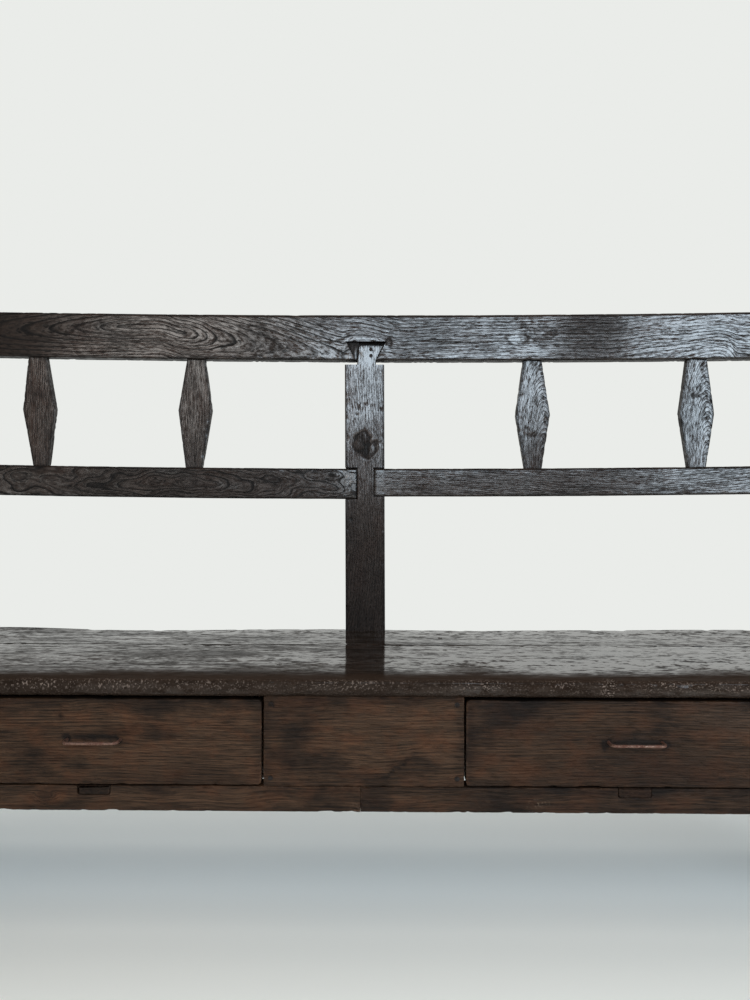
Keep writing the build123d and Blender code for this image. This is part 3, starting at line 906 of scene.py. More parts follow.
@dataclass(frozen=True)
class WoodFinish:
    """Old timber under staining and wax. Grain sizes are lengths along and across the fibres."""

    name: str
    pale: Colour
    body: Colour
    dark: Colour
    warm: Colour
    scuff: Colour
    # Colour of the dark marks: staining, and painted shade
    stain_and_shade_colour: Colour
    grain: Grain = Grain.LOG
    fibre: Span = (0.020, 0.0024)
    streak: Span = (0.080, 0.0050)
    pore: Span = (0.012, 0.0018)
    blotch: Span = (0.220, 0.070)
    glint: Span = (0.009, 0.0022)
    chip: Span = (0.0040, 0.0025)
    patch: float = 0.5
    crisp: Span = (0.38, 0.62)
    saw_share: float = 3.0
    ring_contrast: float = 0.85
    warmth: float = 0.25
    # How dark the arrises get, and over what reach: partly dirt, partly painted shade
    edge_grime_and_shade: float = 0.3
    edge_grime_and_shade_reach: float = 0.012
    edge_wear: float = 0.3
    chips: float = 0.0
    chip_reach: float = 0.004
    dull: float = 0.55
    gloss: float = 0.2
    coat: Span = (0.1, 1.0)
    coat_rough: float = 0.25
    coat_ior: float = 1.7
    relief: float = 0.0007
    mottle: float = 0.5
    pore_depth: float = 0.85

    # Detail and roughness of the noises, the cloud's share of a blotch and how the seasons vary
    FINE_DETAIL: ClassVar[float] = 4.0
    DETAIL: ClassVar[float] = 3.0
    PLAIN_DETAIL: ClassVar[float] = 2.0
    ROUGHNESS: ClassVar[float] = 0.6
    CLOUD_SHARE: ClassVar[Span] = (0.4, 0.6)
    SEASON_SCALE: ClassVar[Span] = (0.37, 2.0)
    SEASON_LEAST: ClassVar[float] = 0.3
    PORE_LEAST: ClassVar[float] = 0.4

    # Where each layer starts to show and where it shows in full
    GLINT_STEP: ClassVar[Span] = (0.46, 0.66)
    EARLY_WOOD: ClassVar[Span] = (0.05, 0.4)
    LATE_WOOD: ClassVar[Span] = (0.55, 0.9)
    RING_END: ClassVar[Span] = (0.93, 1.0)
    SEASON_STEP: ClassVar[Span] = (0.25, 0.6)
    PORE_STEP: ClassVar[Span] = (0.51, 0.63)
    PORE_ZONE: ClassVar[Span] = (0.0, 0.5)
    WORN_REACH: ClassVar[Span] = (0.0005, 0.005)
    WORN_STEP: ClassVar[Span] = (0.48, 0.68)
    RUBBED_STEP: ClassVar[Span] = (0.40, 0.62)
    SPECK_STEP: ClassVar[Span] = (0.53, 0.66)
    FIBRE_STEP: ClassVar[Span] = (0.36, 0.66)
    STREAK_STEP: ClassVar[Span] = (0.34, 0.68)
    WARM_STEP: ClassVar[Span] = (0.42, 0.7)
    BLOTCH_STEP: ClassVar[Span] = (0.45, 0.7)
    DULL_STEP: ClassVar[Span] = (0.42, 0.62)

    # Shares of the layers: fibre and streak; ridge, glint and early wood; rings, pores and ridge;
    # fibre, streak, glint, pores, rings and specks
    LIGHT_SHARES: ClassVar[Span] = (0.55, 0.4)
    RIDGE_SHARES: ClassVar[Span] = (0.6, 0.4)
    SHINE_SHARES: ClassVar[Point] = (0.65, 0.45, 0.25)
    ROUGH_SHARES: ClassVar[Point] = (0.1, 0.2, -0.15)
    HEIGHT_SHARES: ClassVar[tuple[float, ...]] = (0.5, 0.5, 0.2, -0.9, -0.5, -0.5)
    # How far the dark marks, staining and painted shade, tint the colour and dull the wax
    STAIN_AND_SHADE_SHARE: ClassVar[float] = 0.9
    SPECK_SHARE: ClassVar[float] = 0.85
    STAIN_AND_SHADE_POWER: ClassVar[float] = 3.0

    def place(self, paint: Paint) -> tuple[Tone, Tone, Tone]:
        """Places along the log, beside its pith and away from it.

        Args:
            paint: The material's nodes.

        Returns:
            The three places.
        """
        if self.grain is Grain.LOG:
            return paint.parts(paint.attribute("log", "Vector"))
        x, y, z = paint.parts(paint.object_place())
        return z, x, y

    def layers(self, paint: Paint) -> Layers:
        """Adds the noises and reads the marks of a piece.

        Growth rings are the fraction of the count of rings from the pith. Fibres, streaks and pores
        are noise stretched along the log, which follows the rings more than the saw.

        Args:
            paint: The material's nodes.

        Returns:
            The layers.
        """
        along, beside, away = self.place(paint)

        def grain(size: Span, detail: float) -> Tone:
            """Noise stretched along the log.

            Args:
                size: Its lengths along and across the fibres.
                detail: Its detail.

            Returns:
                Values from 0 to 1.
            """
            length, breadth = size
            place = paint.vector(along / length, away / breadth, beside / (self.saw_share * breadth))
            return paint.noise(place, detail, self.ROUGHNESS)

        fibre = grain(self.fibre, self.FINE_DETAIL)
        streak = grain(self.streak, self.DETAIL)
        cloud_size = (self.blotch[0] * self.CLOUD_SHARE[0], self.blotch[1] * self.CLOUD_SHARE[1])
        cloud = grain(cloud_size, self.DETAIL)
        phase = paint.attribute("rings", "Fac")
        turn = phase.fraction()
        by_ring, by_length = self.SEASON_SCALE
        season = paint.noise(paint.vector(phase.floor() * by_ring, along * by_length, 0.0), 1.0)
        late = turn.rise(*self.LATE_WOOD) * turn.fall(*self.RING_END)
        strong = self.SEASON_LEAST + (1.0 - self.SEASON_LEAST) * season.rise(*self.SEASON_STEP)
        zone = self.PORE_LEAST + (1.0 - self.PORE_LEAST) * turn.fall(*self.PORE_ZONE)
        dark, polish, pale = paint.parts(paint.attribute("marks", "Vector"))
        edge = paint.attribute("edge", "Fac")
        rubbed = edge.fall(0.0, self.chip_reach) * cloud.rise(*self.RUBBED_STEP) * self.chips
        chip = grain(self.chip, self.DETAIL).rise(*self.SPECK_STEP)
        return Layers(
            fibre=fibre,
            streak=streak,
            ridge=weighted((fibre, streak), self.RIDGE_SHARES).rise(*self.crisp),
            blotch=grain(self.blotch, self.FINE_DETAIL),
            cloud=cloud,
            glint=grain(self.glint, self.PLAIN_DETAIL).rise(*self.GLINT_STEP),
            early=turn.fall(*self.EARLY_WOOD) * self.ring_contrast,
            rings=late * strong,
            pores=grain(self.pore, self.PLAIN_DETAIL).rise(*self.PORE_STEP) * zone,
            stains_and_shade=dark.maths("MINIMUM", 1.0),
            polish=polish,
            grimy_and_shaded_edges=edge.fall(0.0, self.edge_grime_and_shade_reach) * self.edge_grime_and_shade,
            worn=edge.fall(*self.WORN_REACH) * cloud.rise(*self.WORN_STEP) * self.edge_wear,
            specks=(chip * (pale + rubbed)).maths("MINIMUM", 1.0),
        )

    def colour(self, paint: Paint, layers: Layers) -> Tone:
        """Lays the colours over each other.

        Args:
            paint: The material's nodes.
            layers: The layers.

        Returns:
            The colour.
        """
        grains = (layers.fibre.rise(*self.FIBRE_STEP), layers.streak.rise(*self.STREAK_STEP))
        wood = paint.blend(weighted(grains, self.LIGHT_SHARES), self.body, self.pale)
        coats = (
            (layers.cloud.rise(*self.WARM_STEP) * self.warmth, self.warm),
            (layers.rings * self.ring_contrast, self.dark),
            (layers.pores * self.pore_depth, self.dark),
            (layers.blotch.rise(*self.BLOTCH_STEP) * self.mottle, self.dark),
            # Darker near the arrises: partly dirt, partly painted shade
            (layers.grimy_and_shaded_edges, self.dark),
            # The dark marks paint staining and also painted shade
            (layers.stains_and_shade * self.STAIN_AND_SHADE_SHARE, self.stain_and_shade_colour),
            (layers.worn, self.pale),
            (layers.specks * self.SPECK_SHARE, self.scuff),
        )
        for share, colour in coats:
            wood = paint.blend(share, wood, colour)
        return wood

    def sheen(self, layers: Layers) -> Tone:
        """Weight of the wax: raised fibres shine, and rings, pores, dirt and painted shade at the arrises,
        staining and painted shade from the dark marks, and specks stay dull.

        Args:
            layers: The layers.

        Returns:
            The weight, up to 1.
        """
        low, high = self.coat
        shine = weighted((layers.ridge, layers.glint, layers.early), self.SHINE_SHARES)
        smooth = 1.0 - layers.blotch.rise(*self.DULL_STEP) * self.patch
        sheen = low + (high - low) * shine * smooth + shine * layers.polish
        clean = (1.0 - layers.rings * self.ring_contrast) * (1.0 - layers.pores * self.pore_depth)
        clean = clean * (1.0 - layers.grimy_and_shaded_edges) * (1.0 - layers.stains_and_shade) ** self.STAIN_AND_SHADE_POWER
        return (sheen * clean * (1.0 - layers.specks)).maths("MINIMUM", 1.0)

    def material(self) -> bpy.types.Material:
        """Builds the material.

        Returns:
            The new material.
        """
        paint, material = Paint.material(self.name)
        layers = self.layers(paint)
        heights = (layers.fibre, layers.streak, layers.glint, layers.pores, layers.rings, layers.specks)
        height = weighted(heights, self.HEIGHT_SHARES)
        relief = {"Strength": 1.0, "Distance": self.relief, "Height": height}
        inputs = {
            "Base Color": self.colour(paint, layers),
            "Roughness": self.dull + weighted((layers.rings, layers.pores, layers.ridge), self.ROUGH_SHARES),
            "Normal": paint.out("ShaderNodeBump", None, relief),
            "Specular IOR Level": self.gloss,
            "Coat Weight": self.sheen(layers),
            "Coat Roughness": self.coat_rough,
            "Coat IOR": self.coat_ior,
        }
        paint.finish("ShaderNodeOutputMaterial", paint.out("ShaderNodeBsdfPrincipled", None, inputs))
        return material


@dataclass(frozen=True)
class IronFinish:
    """Forged iron with a brown skin of rust, rubbed bare in places."""

    name: str
    rust: Colour
    bare: Colour

    # Waves to the metre, detail and roughness of the two noises
    COARSE: ClassVar[Point] = (160.0, 4.0, 0.65)
    FINE: ClassVar[Point] = (900.0, 3.0, 0.6)
    RUST_SHARES: ClassVar[Span] = (0.7, 0.3)
    RUST_STEP: ClassVar[Span] = (0.38, 0.6)
    RUST_COVER: ClassVar[float] = 0.7
    RUST_ROUGH: ClassVar[float] = 0.35
    BARE_ROUGH: ClassVar[float] = 0.38
    BUMP: ClassVar[float] = 0.8
    BUMP_DEPTH: ClassVar[float] = 0.0004
    BUMP_SHARES: ClassVar[Span] = (1.0, 0.5)

    def material(self) -> bpy.types.Material:
        """Builds the material: rust spreads by noise over bare metal.

        Returns:
            The new material.
        """
        paint, material = Paint.material(self.name)
        x, y, z = paint.parts(paint.object_place())

        def noise(scale: float, detail: float, roughness: float) -> Tone:
            """Noise on the piece."""
            return paint.noise(paint.vector(x * scale, y * scale, z * scale), detail, roughness)

        noises = (noise(*self.COARSE), noise(*self.FINE))
        rusted = weighted(noises, self.RUST_SHARES).rise(*self.RUST_STEP)
        height = weighted(noises, self.BUMP_SHARES)
        relief = {"Strength": self.BUMP, "Distance": self.BUMP_DEPTH, "Height": height}
        inputs = {
            "Base Color": paint.blend(rusted, self.bare, self.rust),
            "Metallic": 1.0 - rusted * self.RUST_COVER,
            "Roughness": self.BARE_ROUGH + rusted * self.RUST_ROUGH,
            "Normal": paint.out("ShaderNodeBump", None, relief),
        }
        paint.finish("ShaderNodeOutputMaterial", paint.out("ShaderNodeBsdfPrincipled", None, inputs))
        return material


# The frame's strong darkening at its arrises paints the shade on their rounding, over some dirt
FRAME_WOOD = WoodFinish(
    "frame_wood", tint(67, 53, 45), tint(40, 31, 26), tint(11, 9, 8), tint(72, 44, 29),
    tint(150, 142, 136), tint(13, 10, 9),
    fibre=(0.016, 0.0018), streak=(0.080, 0.0042), crisp=(0.44, 0.57),
    ring_contrast=0.95, edge_grime_and_shade=0.75, edge_grime_and_shade_reach=0.007, coat=(0.0, 1.25), coat_ior=2.3,
)
STILE_WOOD = replace(
    FRAME_WOOD, fibre=(0.012, 0.0013), streak=(0.040, 0.0034), pore=(0.0045, 0.0015),
    ring_contrast=0.55, crisp=(0.40, 0.61),
)
SEAT_WOOD = WoodFinish(
    "seat_wood", tint(48, 39, 33), tint(28, 22, 18), tint(10, 8, 7), tint(54, 36, 26),
    tint(122, 108, 99), tint(50, 39, 32),
    fibre=(0.022, 0.0042), streak=(0.090, 0.010), pore=(0.016, 0.0036), blotch=(0.260, 0.030),
    glint=(0.012, 0.0040), chip=(0.0028, 0.0012), crisp=(0.44, 0.55), pore_depth=0.7, patch=0.75,
    ring_contrast=0.3, gloss=0.0, coat=(0.22, 1.5), coat_rough=0.10, coat_ior=1.62,
)
DRAWER_WOOD = WoodFinish(
    "drawer_wood", tint(87, 62, 44), tint(36, 27, 20), tint(12, 9, 8), tint(90, 52, 30),
    tint(140, 120, 104), tint(20, 16, 15),
    fibre=(0.045, 0.0011), streak=(0.120, 0.0024), pore=(0.018, 0.0012), blotch=(0.110, 0.050),
    ring_contrast=0.2, warmth=0.4, mottle=0.75, pore_depth=0.3, edge_grime_and_shade=0.4, edge_grime_and_shade_reach=0.020,
    chips=0.25, chip_reach=0.002, gloss=0.12, coat=(0.0, 0.10), dull=0.6,
)
BEARER_WOOD = replace(DRAWER_WOOD, edge_wear=0.0, chips=0.0)
INNER_WOOD = WoodFinish(
    "inner_wood", tint(128, 100, 76), tint(98, 74, 55), tint(52, 38, 28), tint(120, 84, 56),
    tint(160, 140, 120), tint(52, 38, 28), coat=(0.0, 0.05), dull=0.7,
)
PEG_WOOD = WoodFinish(
    "peg_wood", tint(62, 51, 44), tint(40, 32, 28), tint(16, 12, 11), tint(60, 40, 30),
    tint(150, 140, 130), tint(16, 12, 11),
    grain=Grain.UPRIGHT, ring_contrast=0.0, edge_grime_and_shade=0.0, edge_wear=0.0, coat=(0.0, 0.3),
)
IRON = IronFinish("iron", tint(90, 57, 45), tint(140, 112, 99))
NAIL_IRON = IronFinish("iron", tint(30, 24, 22), tint(40, 33, 30))
Finish = Union[WoodFinish, IronFinish]


@dataclass
class Dresser:
    """Gives finished pieces their material, body and slot, and hides the CAD nodes that they stand for."""

    materials: dict[Finish, bpy.types.Material] = field(default_factory=dict)

    def coat(self, piece: bpy.types.Object, finish: Finish) -> None:
        """Gives a piece one finish all over.

        Args:
            piece: The piece.
            finish: Its finish, whose material is made once.
        """
        if finish not in self.materials:
            self.materials[finish] = finish.material()
        piece.data.materials.clear()
        piece.data.materials.append(self.materials[finish])

    def dress(self, piece: bpy.types.Object, finish: Finish, body: str, node: str) -> None:
        """Finishes a new piece that stands for a CAD node.

        Args:
            piece: The new piece.
            finish: Its finish, which has the name of the record's slot.
            body: The CAD body that it moves with.
            node: The CAD node that it stands for.
        """
        self.coat(piece, finish)
        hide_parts(node)
        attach(piece, body)
        LOG.info("%s: %d faces", piece.name, len(piece.data.polygons))

    def lay(self, board: Board, finish: WoodFinish, body: str = BENCH) -> None:
        """Builds and finishes a board that moves with a body."""
        self.dress(board.build(), finish, body, board.node)

    def keep(self, node: str, finish: Finish) -> None:
        """Leaves a CAD node in sight with a finish of its own."""
        self.coat(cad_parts[node], finish)
        LOG.info("%s: kept from the frame", node)


def plain(extent: Extent, lay: Lay) -> tuple[Section, ...]:
    """Two equal sections, at the two ends of an extent."""
    length, width, depth = lay.value
    return tuple(Section(place, extent.span(width), extent.span(depth)) for place in extent.span(length))


def straight_log(board: Extent, lay: Lay, across: float, through: float, shift: float = 0.0) -> Log:
    """Log whose pith runs parallel to a board.

    Args:
        board: Extent of the board.
        lay: How the board lies.
        across: Distance of the pith from the board's middle, across it.
        through: Distance of the pith from the board's middle, through it.
        shift: Place of the board along its log.

    Returns:
        The log.
    """
    length, width, depth = lay.value
    start, end = board.span(length)
    place = (board.middle(width) + across, board.middle(depth) + through)
    return Log((Heart(start, *place), Heart(end, *place)), shift)


# The railed back


@dataclass(frozen=True)
class Lozenge:
    """Shape of one baluster: its lean, its three widths and the height of its waist above the foot."""

    lean: float
    foot: float
    waist: float
    head: float
    waist_height: float


@dataclass
class RailedBack:
    """Top rail, centre stile with its dovetail, lower rails and balusters."""

    dresser: Dresser
    rail: Extent = extent_of("top_rail")
    stile: Extent = extent_of("centre_stile")
    wedge: Extent = extent_of("dovetail_wedge")
    seat: Extent = extent_of("seat_back_plank")
    half_span: float = field(default_factory=lambda: Extent.of("back_post_right").low[0])
    sag: float = 0.0095
    tilt: float = 0.0023
    socket_height: float = 0.0365
    socket_throat: float = 0.0405
    socket_head: float = 0.0775
    socket_offset: float = 0.002
    tongue_depth: float = 0.016
    tongue_left: Span = (-0.015, -0.012)
    tongue_play: float = 0.0012
    shoulder_gap: float = 0.008
    notch_depths: Span = (0.02325, 0.02075)
    notch_top_gap: float = 0.002
    stile_lean: float = 0.0058
    stile_start: float = -0.0007
    face_skin: float = 0.003
    rail_skin: float = 0.002
    baluster_take_up: float = 0.003
    pit: float = 0.0022
    pits: tuple[Span, ...] = (
        (0.849, -0.0130), (0.836, -0.0134), (0.852, 0.0132), (0.854, 0.0015), (0.844, 0.0300),
    )
    rail_arrises: tuple[Span, ...] = even(0.0035, 0.0045, 0.003, 0.0025)
    lozenges: tuple[Lozenge, ...] = (
        Lozenge(0.007, 0.0285, 0.0625, 0.034, 0.108),
        Lozenge(-0.0038, 0.0315, 0.0645, 0.034, 0.110),
        Lozenge(0.0015, 0.0325, 0.066, 0.0345, 0.102),
        Lozenge(0.0007, 0.0335, 0.066, 0.0375, 0.102),
    )

    def bow(self) -> Bow:
        """Sag shared by the rails."""
        return Bow(self.half_span, self.sag)

    def drop(self, place: float) -> float:
        """How far the top rail's lower edge lies below its even sag at a place."""
        return self.tilt * place / self.half_span

    @property
    def rail_low(self) -> float:
        """Height of the top rail's lower edge in the middle of the bench."""
        return self.rail.low[2] + self.tilt**2 / (4 * self.sag)

    def socket_side(self, side: int, height: float) -> float:
        """Place of one sloping side of the socket.

        Args:
            side: -1 for its left side and 1 for its right side.
            height: Height above the rail's lower edge.

        Returns:
            The place along the bench.
        """
        share = height / self.socket_height
        half = (self.socket_throat + (self.socket_head - self.socket_throat) * share) / 2
        return self.stile.middle(Axis.X) + self.socket_offset + side * half

    def tongue_side(self, height: float) -> float:
        """Place of the tongue's left side.

        Args:
            height: Height above the floor.

        Returns:
            The place along the bench.
        """
        shoulder = self.rail_low - self.shoulder_gap
        share = min((height - shoulder) / (self.stile.high[2] - shoulder), 1.0)
        foot, head = self.tongue_left
        return self.stile.middle(Axis.X) + foot + (head - foot) * share

    def top_rail(self) -> None:
        """Builds the continuous top rail with the dovetail socket in its face."""
        front, back = self.rail.span(Axis.Y)
        top = self.rail_low + self.socket_height
        floor = front + self.tongue_depth
        head_left, head_right = (self.socket_side(side, self.socket_height) for side in (-1, 1))
        throat_left, throat_right = (self.socket_side(side, 0.0) for side in (-1, 1))

        def cut(place: float, depth: float, is_throat: bool, open_below: bool) -> SocketSection:
            """Section of the rail.

            Args:
                place: Its place along the bench.
                depth: How deep its pocket lies.
                is_throat: Whether the pocket reaches the rail's lower edge.
                open_below: Whether the pocket is open at that edge.

            Returns:
                The section.
            """
            low = self.rail_low - self.drop(place)
            wide = (low, self.rail.high[2] - self.sag)
            pocket = (low if is_throat else top, top)
            return SocketSection(place, wide, (front, back), pocket, depth, open_below)

        sections = (
            cut(-self.half_span, front, False, False),
            cut(head_left, front, False, False),
            cut(head_left, floor, False, False),
            cut(throat_left, floor, True, False),
            cut(throat_left, floor, True, True),
            cut(throat_right, floor, True, True),
            cut(throat_right, floor, True, False),
            cut(head_right, floor, False, False),
            cut(head_right, front, False, False),
            cut(self.half_span, front, False, False),
        )
        log = Log((
            Heart(-0.95, 0.992, front + 0.060),
            Heart(-0.617, 0.9985, front + 0.0242),
            Heart(-0.561, 1.000, front + 0.0180),
            Heart(-0.516, 1.001, front + 0.0118),
            Heart(-0.483, 1.002, front + 0.0056),
            Heart(-0.405, 1.003, front + 0.0015),
            Heart(-0.352, 0.9900, front + 0.0056),
            Heart(-0.331, 0.986, front + 0.0118),
            Heart(-0.294, 0.979, front + 0.0242),
            Heart(-0.214, 0.9686, front + 0.0366),
            Heart(-0.05, 0.945, front + 0.056),
            Heart(0.08, 0.915, front + 0.030),
            Heart(0.25, 0.915, front + 0.018),
            Heart(0.45, 0.922, front + 0.030),
            Heart(0.57, 0.930, front + 0.024),
            Heart(0.665, 0.934, front + 0.001),
            Heart(0.70, 0.934, front + 0.030),
            Heart(0.95, 0.920, front + 0.050),
        ), ring=0.0062, wander=0.0006)
        middle = self.stile.middle(Axis.X)
        skin = front + self.rail_skin
        curls = tuple(
            stain_and_shade(0.327, 0.9896, 0.028 * share, 0.013 * share, 0.45, rim=0.12 / share)
            for share in (1.0, 0.7, 0.4)
        )
        marks = (
            *curls,
            polished(0.277, 0.9765, 0.014, 0.007, 4.0, firmness=3.0),
            stain_and_shade(0.282, 0.9790, 0.022, 0.010, 0.5, rim=0.2),
            polished(0.292, 0.9915, 0.020, 0.007, 1.0, swirl=0.03),
            polished(0.311, 0.959, 0.018, 0.005, 1.0),
            stain_and_shade(0.332, 0.965, 0.008, 0.006, 0.6),
            stain_and_shade(0.294, 1.0048, 0.012, 0.005, 0.6),
            polished(0.68, 0.985, 0.18, 0.08, 0.5),
            polished(0.28, 0.975, 0.06, 0.05, 0.4),
            stain_and_shade(0.12, 0.985, 0.12, 0.09, 0.07),
            stain_and_shade(0.425, 0.985, 0.070, 0.09, 0.36, firmness=2.0),
            stain_and_shade(-0.72, 0.985, 0.13, 0.12, 0.6, firmness=1.5),
            stain_and_shade(0.0385, 0.974, 0.0045, 0.0045, 0.9, rim=0.4),
            polished(0.037, 0.962, 0.009, 0.008, 1.5),
            polished(middle, 0.9785, 0.036, 0.003, 1.6),
            # Darker inside the socket: partly dirt, partly painted shade in the recess
            stain_and_shade(middle, 0.955, 0.06, 0.06, 1.0, deeper_than=skin),
            # Painted shade on the rail's underside and lower arris, which face down
            stain_and_shade(0.0, self.rail_low, ENDLESS, 0.014, 1.0, firmness=2.0, deeper_than=skin),
        )
        rail = Board(
            "top_rail", Lay.RAIL, sections, log, self.rail_arrises,
            end_arris=0.0, bow=self.bow(), marks=marks, cell=0.0027, seed=11,
        )
        self.dresser.lay(rail, FRAME_WOOD)

    def centre_stile(self) -> None:
        """Builds the stile: lapped foot, two notches, shoulders and the dovetail tongue."""
        wide = self.stile.span(Axis.X)
        middle = self.stile.middle(Axis.X)
        front, back = self.stile.span(Axis.Y)
        tuck = self.seat.high[1]
        seat_top = self.seat.high[2]
        shoulder = self.rail_low - self.shoulder_gap
        tongue_top = self.stile.high[2]
        left = Extent.of("lower_rail_left")
        right = Extent.of("lower_rail_right")
        step = left.high[1]
        notch_top = left.high[2] - self.sag + self.notch_top_gap
        notched_left = (wide[0] + self.notch_depths[0], wide[1])
        notched_both = (notched_left[0], wide[1] - self.notch_depths[1])

        def cut(place: float, face: Span, depth: Span) -> StepSection:
            """Section of the leaning stile.

            Args:
                place: Its height.
                face: Sides of its front layer, before the lean.
                depth: Its front and its back.

            Returns:
                The section.
            """
            shift = self.stile_start + self.stile_lean * (shoulder - place)
            leaning_wide = (wide[0] + shift, wide[1] + shift)
            leaning_face = (face[0] + shift, face[1] + shift)
            return StepSection(place, leaning_wide, depth, leaning_face, step)

        def tongue(place: float) -> StepSection:
            """Section of the tongue, which is one layer only.

            Args:
                place: Its height.

            Returns:
                The section.
            """
            right_edge = self.socket_side(1, max(place - self.rail_low, 0.0)) - self.tongue_play
            face = (self.tongue_side(place), right_edge)
            floor = front + self.tongue_depth
            return StepSection(place, face, (front, floor), face, floor)

        sections = (
            cut(self.stile.low[2], wide, (tuck, back)),
            cut(seat_top, wide, (tuck, back)),
            cut(seat_top, wide, (front, back)),
            cut(left.low[2], wide, (front, back)),
            cut(left.low[2], notched_left, (front, back)),
            cut(right.low[2], notched_left, (front, back)),
            cut(right.low[2], notched_both, (front, back)),
            cut(notch_top, notched_both, (front, back)),
            cut(notch_top, wide, (front, back)),
            cut(shoulder, wide, (front, back)),
            tongue(shoulder),
            tongue(self.rail_low),
            tongue(tongue_top),
        )
        log = Log((
            Heart(0.25, middle - 0.10, front + 0.06),
            Heart(0.60, middle - 0.075, front + 0.05),
            Heart(1.00, middle - 0.09, front + 0.05),
        ), ring=0.004)
        marks = (
            stain_and_shade(0.783, middle - 0.005, 0.019, 0.0155, 0.9, rim=0.13, dent=0.0012, slope=0.2),
            stain_and_shade(0.781, middle - 0.004, 0.019, 0.0150, 0.42, firmness=3.0),
            stain_and_shade(0.779, middle + 0.001, 0.012, 0.0045, 0.7, dent=0.0008, slope=-0.6),
            stain_and_shade(0.765, middle + 0.012, 0.015, 0.0085, 0.8, rim=0.2, dent=0.001, slope=0.5),
            stain_and_shade(0.760, middle, 0.004, 0.017, 0.6),
            stain_and_shade(0.765, middle, 0.022, 0.022, 0.15),
            polished(0.762, middle + 0.014, 0.006, 0.004, 2.0),
            stain_and_shade(0.632, middle - 0.022, 0.003, 0.003, 1.0, dent=0.002),
            stain_and_shade(0.51, middle, 0.18, 0.08, 0.62, firmness=2.0),
            polished(0.90, middle, 0.09, 0.05, 0.1),
            polished(0.950, middle + 0.006, 0.022, 0.05, 3.0, firmness=2.0),
            polished(0.838, middle, 0.010, 0.026, 0.7),
            *(
                stain_and_shade(place, middle + aside, self.pit, self.pit, 0.9, dent=self.pit / 2)
                for place, aside in self.pits
            ),
        )
        stile = Board(
            "centre_stile", Lay.POST, sections, log, end_arris=0.0, marks=marks, cell=0.002, seed=21,
        )
        self.dresser.lay(stile, STILE_WOOD)

    def dovetail_wedge(self) -> None:
        """Builds the thin wedge driven in beside the tongue."""
        low, high = self.wedge.span(Axis.Z)

        def cut(height: float) -> Section:
            """Section of the wedge at a height."""
            sides = (self.socket_side(-1, height - self.rail_low), self.tongue_side(height))
            return Section(height, sides, self.wedge.span(Axis.Y))

        log = straight_log(self.wedge, Lay.POST, 0.03, 0.02)
        marks = (
            stain_and_shade(high, self.wedge.low[0], 0.028, 0.024, 0.9, firmness=3.0),
            polished(low + 0.006, self.wedge.low[0] + 0.014, 0.009, 0.004, 3.0),
        )
        wedge = Board(
            "dovetail_wedge", Lay.POST, (cut(low), cut(high)), log, even(0.0006),
            end_arris=0.0006, cell=0.003, marks=marks, seed=31,
        )
        self.dresser.lay(wedge, FRAME_WOOD)

    def lower_rail(self, word: str, log: Log, marks: tuple[Mark, ...], seed: int) -> None:
        """Builds one lower rail, from its notch in the stile to the end post.

        Args:
            word: Left or right.
            log: The log that it was sawn from.
            marks: Its local marks.
            seed: Seed of its wear.
        """
        node = f"lower_rail_{word}"
        extent = Extent.of(node)
        inner = extent.high[0] if word == "left" else extent.low[0]
        outer = -self.half_span if word == "left" else self.half_span
        wide = (extent.low[2], extent.high[2] - self.sag)
        sections = tuple(Section(place, wide, extent.span(Axis.Y)) for place in sorted((inner, outer)))
        rail = Board(
            node, Lay.RAIL, sections, log, self.rail_arrises,
            bow=self.bow(), marks=marks, cell=0.004, seed=seed,
        )
        self.dresser.lay(rail, FRAME_WOOD)

    def lower_rails(self) -> None:
        """Builds the two lower rails."""
        front = self.rail.low[1]
        ovals = Log((
            Heart(-0.95, 0.715, front + 0.060),
            Heart(-0.50, 0.706, front + 0.022),
            Heart(-0.36, 0.702, front + 0.004),
            Heart(-0.10, 0.706, front + 0.040),
            Heart(0.0, 0.705, front + 0.055),
        ), 3.1, ring=0.0060, wander=0.0030, wander_length=(0.014, 0.06))
        lines = Log((
            Heart(0.0, 0.62, front + 0.03),
            Heart(0.5, 0.60, front + 0.02),
            Heart(0.95, 0.64, front + 0.04),
        ), 5.3, ring=0.0038)
        left_marks = (
            # Pale specks at the rail's end by the stile are partly wear, partly a painted highlight
            polished(-0.036, 0.708, 0.016, 0.020, 16.0),
            scuffed(-0.036, 0.712, 0.012, 0.014, 1.0),
            polished(-0.275, 0.696, 0.024, 0.008, 7.0),
            polished(-0.38, 0.724, 0.035, 0.006, 5.0),
            polished(-0.30, 0.70, 0.5, 0.2, 2.6),
            stain_and_shade(-0.30, 0.70, 0.5, 0.2, 0.54),
        )
        right_marks = (
            polished(0.62, 0.71, 0.12, 0.05, 0.5),
            polished(0.019, 0.703, 0.008, 0.030, 2.5),
            stain_and_shade(0.45, 0.70, 0.35, 0.09, 0.12),
        )
        self.lower_rail("left", ovals, left_marks, 41)
        self.lower_rail("right", lines, right_marks, 43)

    def baluster(self, node: str, shape: Lozenge, log: Log, marks: tuple[Mark, ...], seed: int) -> None:
        """Builds one flat lozenge baluster.

        Args:
            node: The CAD node that it stands for.
            shape: Its shape.
            log: The log that it was sawn from.
            marks: Its local marks.
            seed: Seed of its wear.
        """
        extent = Extent.of(node)
        lower = Extent.of("lower_rail_left")
        middle = extent.middle(Axis.X)
        climb = float(self.bow().at(np.array(middle)))
        foot = lower.high[2] - self.sag + climb
        head = self.rail_low + climb - self.drop(middle)
        heights = (foot - self.baluster_take_up, foot + shape.waist_height, head + self.baluster_take_up)
        sections = []
        for z, width in zip(heights, (shape.foot, shape.waist, shape.head)):
            x = middle + shape.lean * (0.5 - (z - foot) / (head - foot))
            sections.append(Section(z, (x - width / 2, x + width / 2), extent.span(Axis.Y)))
        board = Board(
            node, Lay.POST, tuple(sections), log, even(0.0009), end_arris=0.0,
            cell=0.003, wear=Wear(nick=0.0009), marks=marks, seed=seed,
        )
        self.dresser.lay(board, FRAME_WOOD)

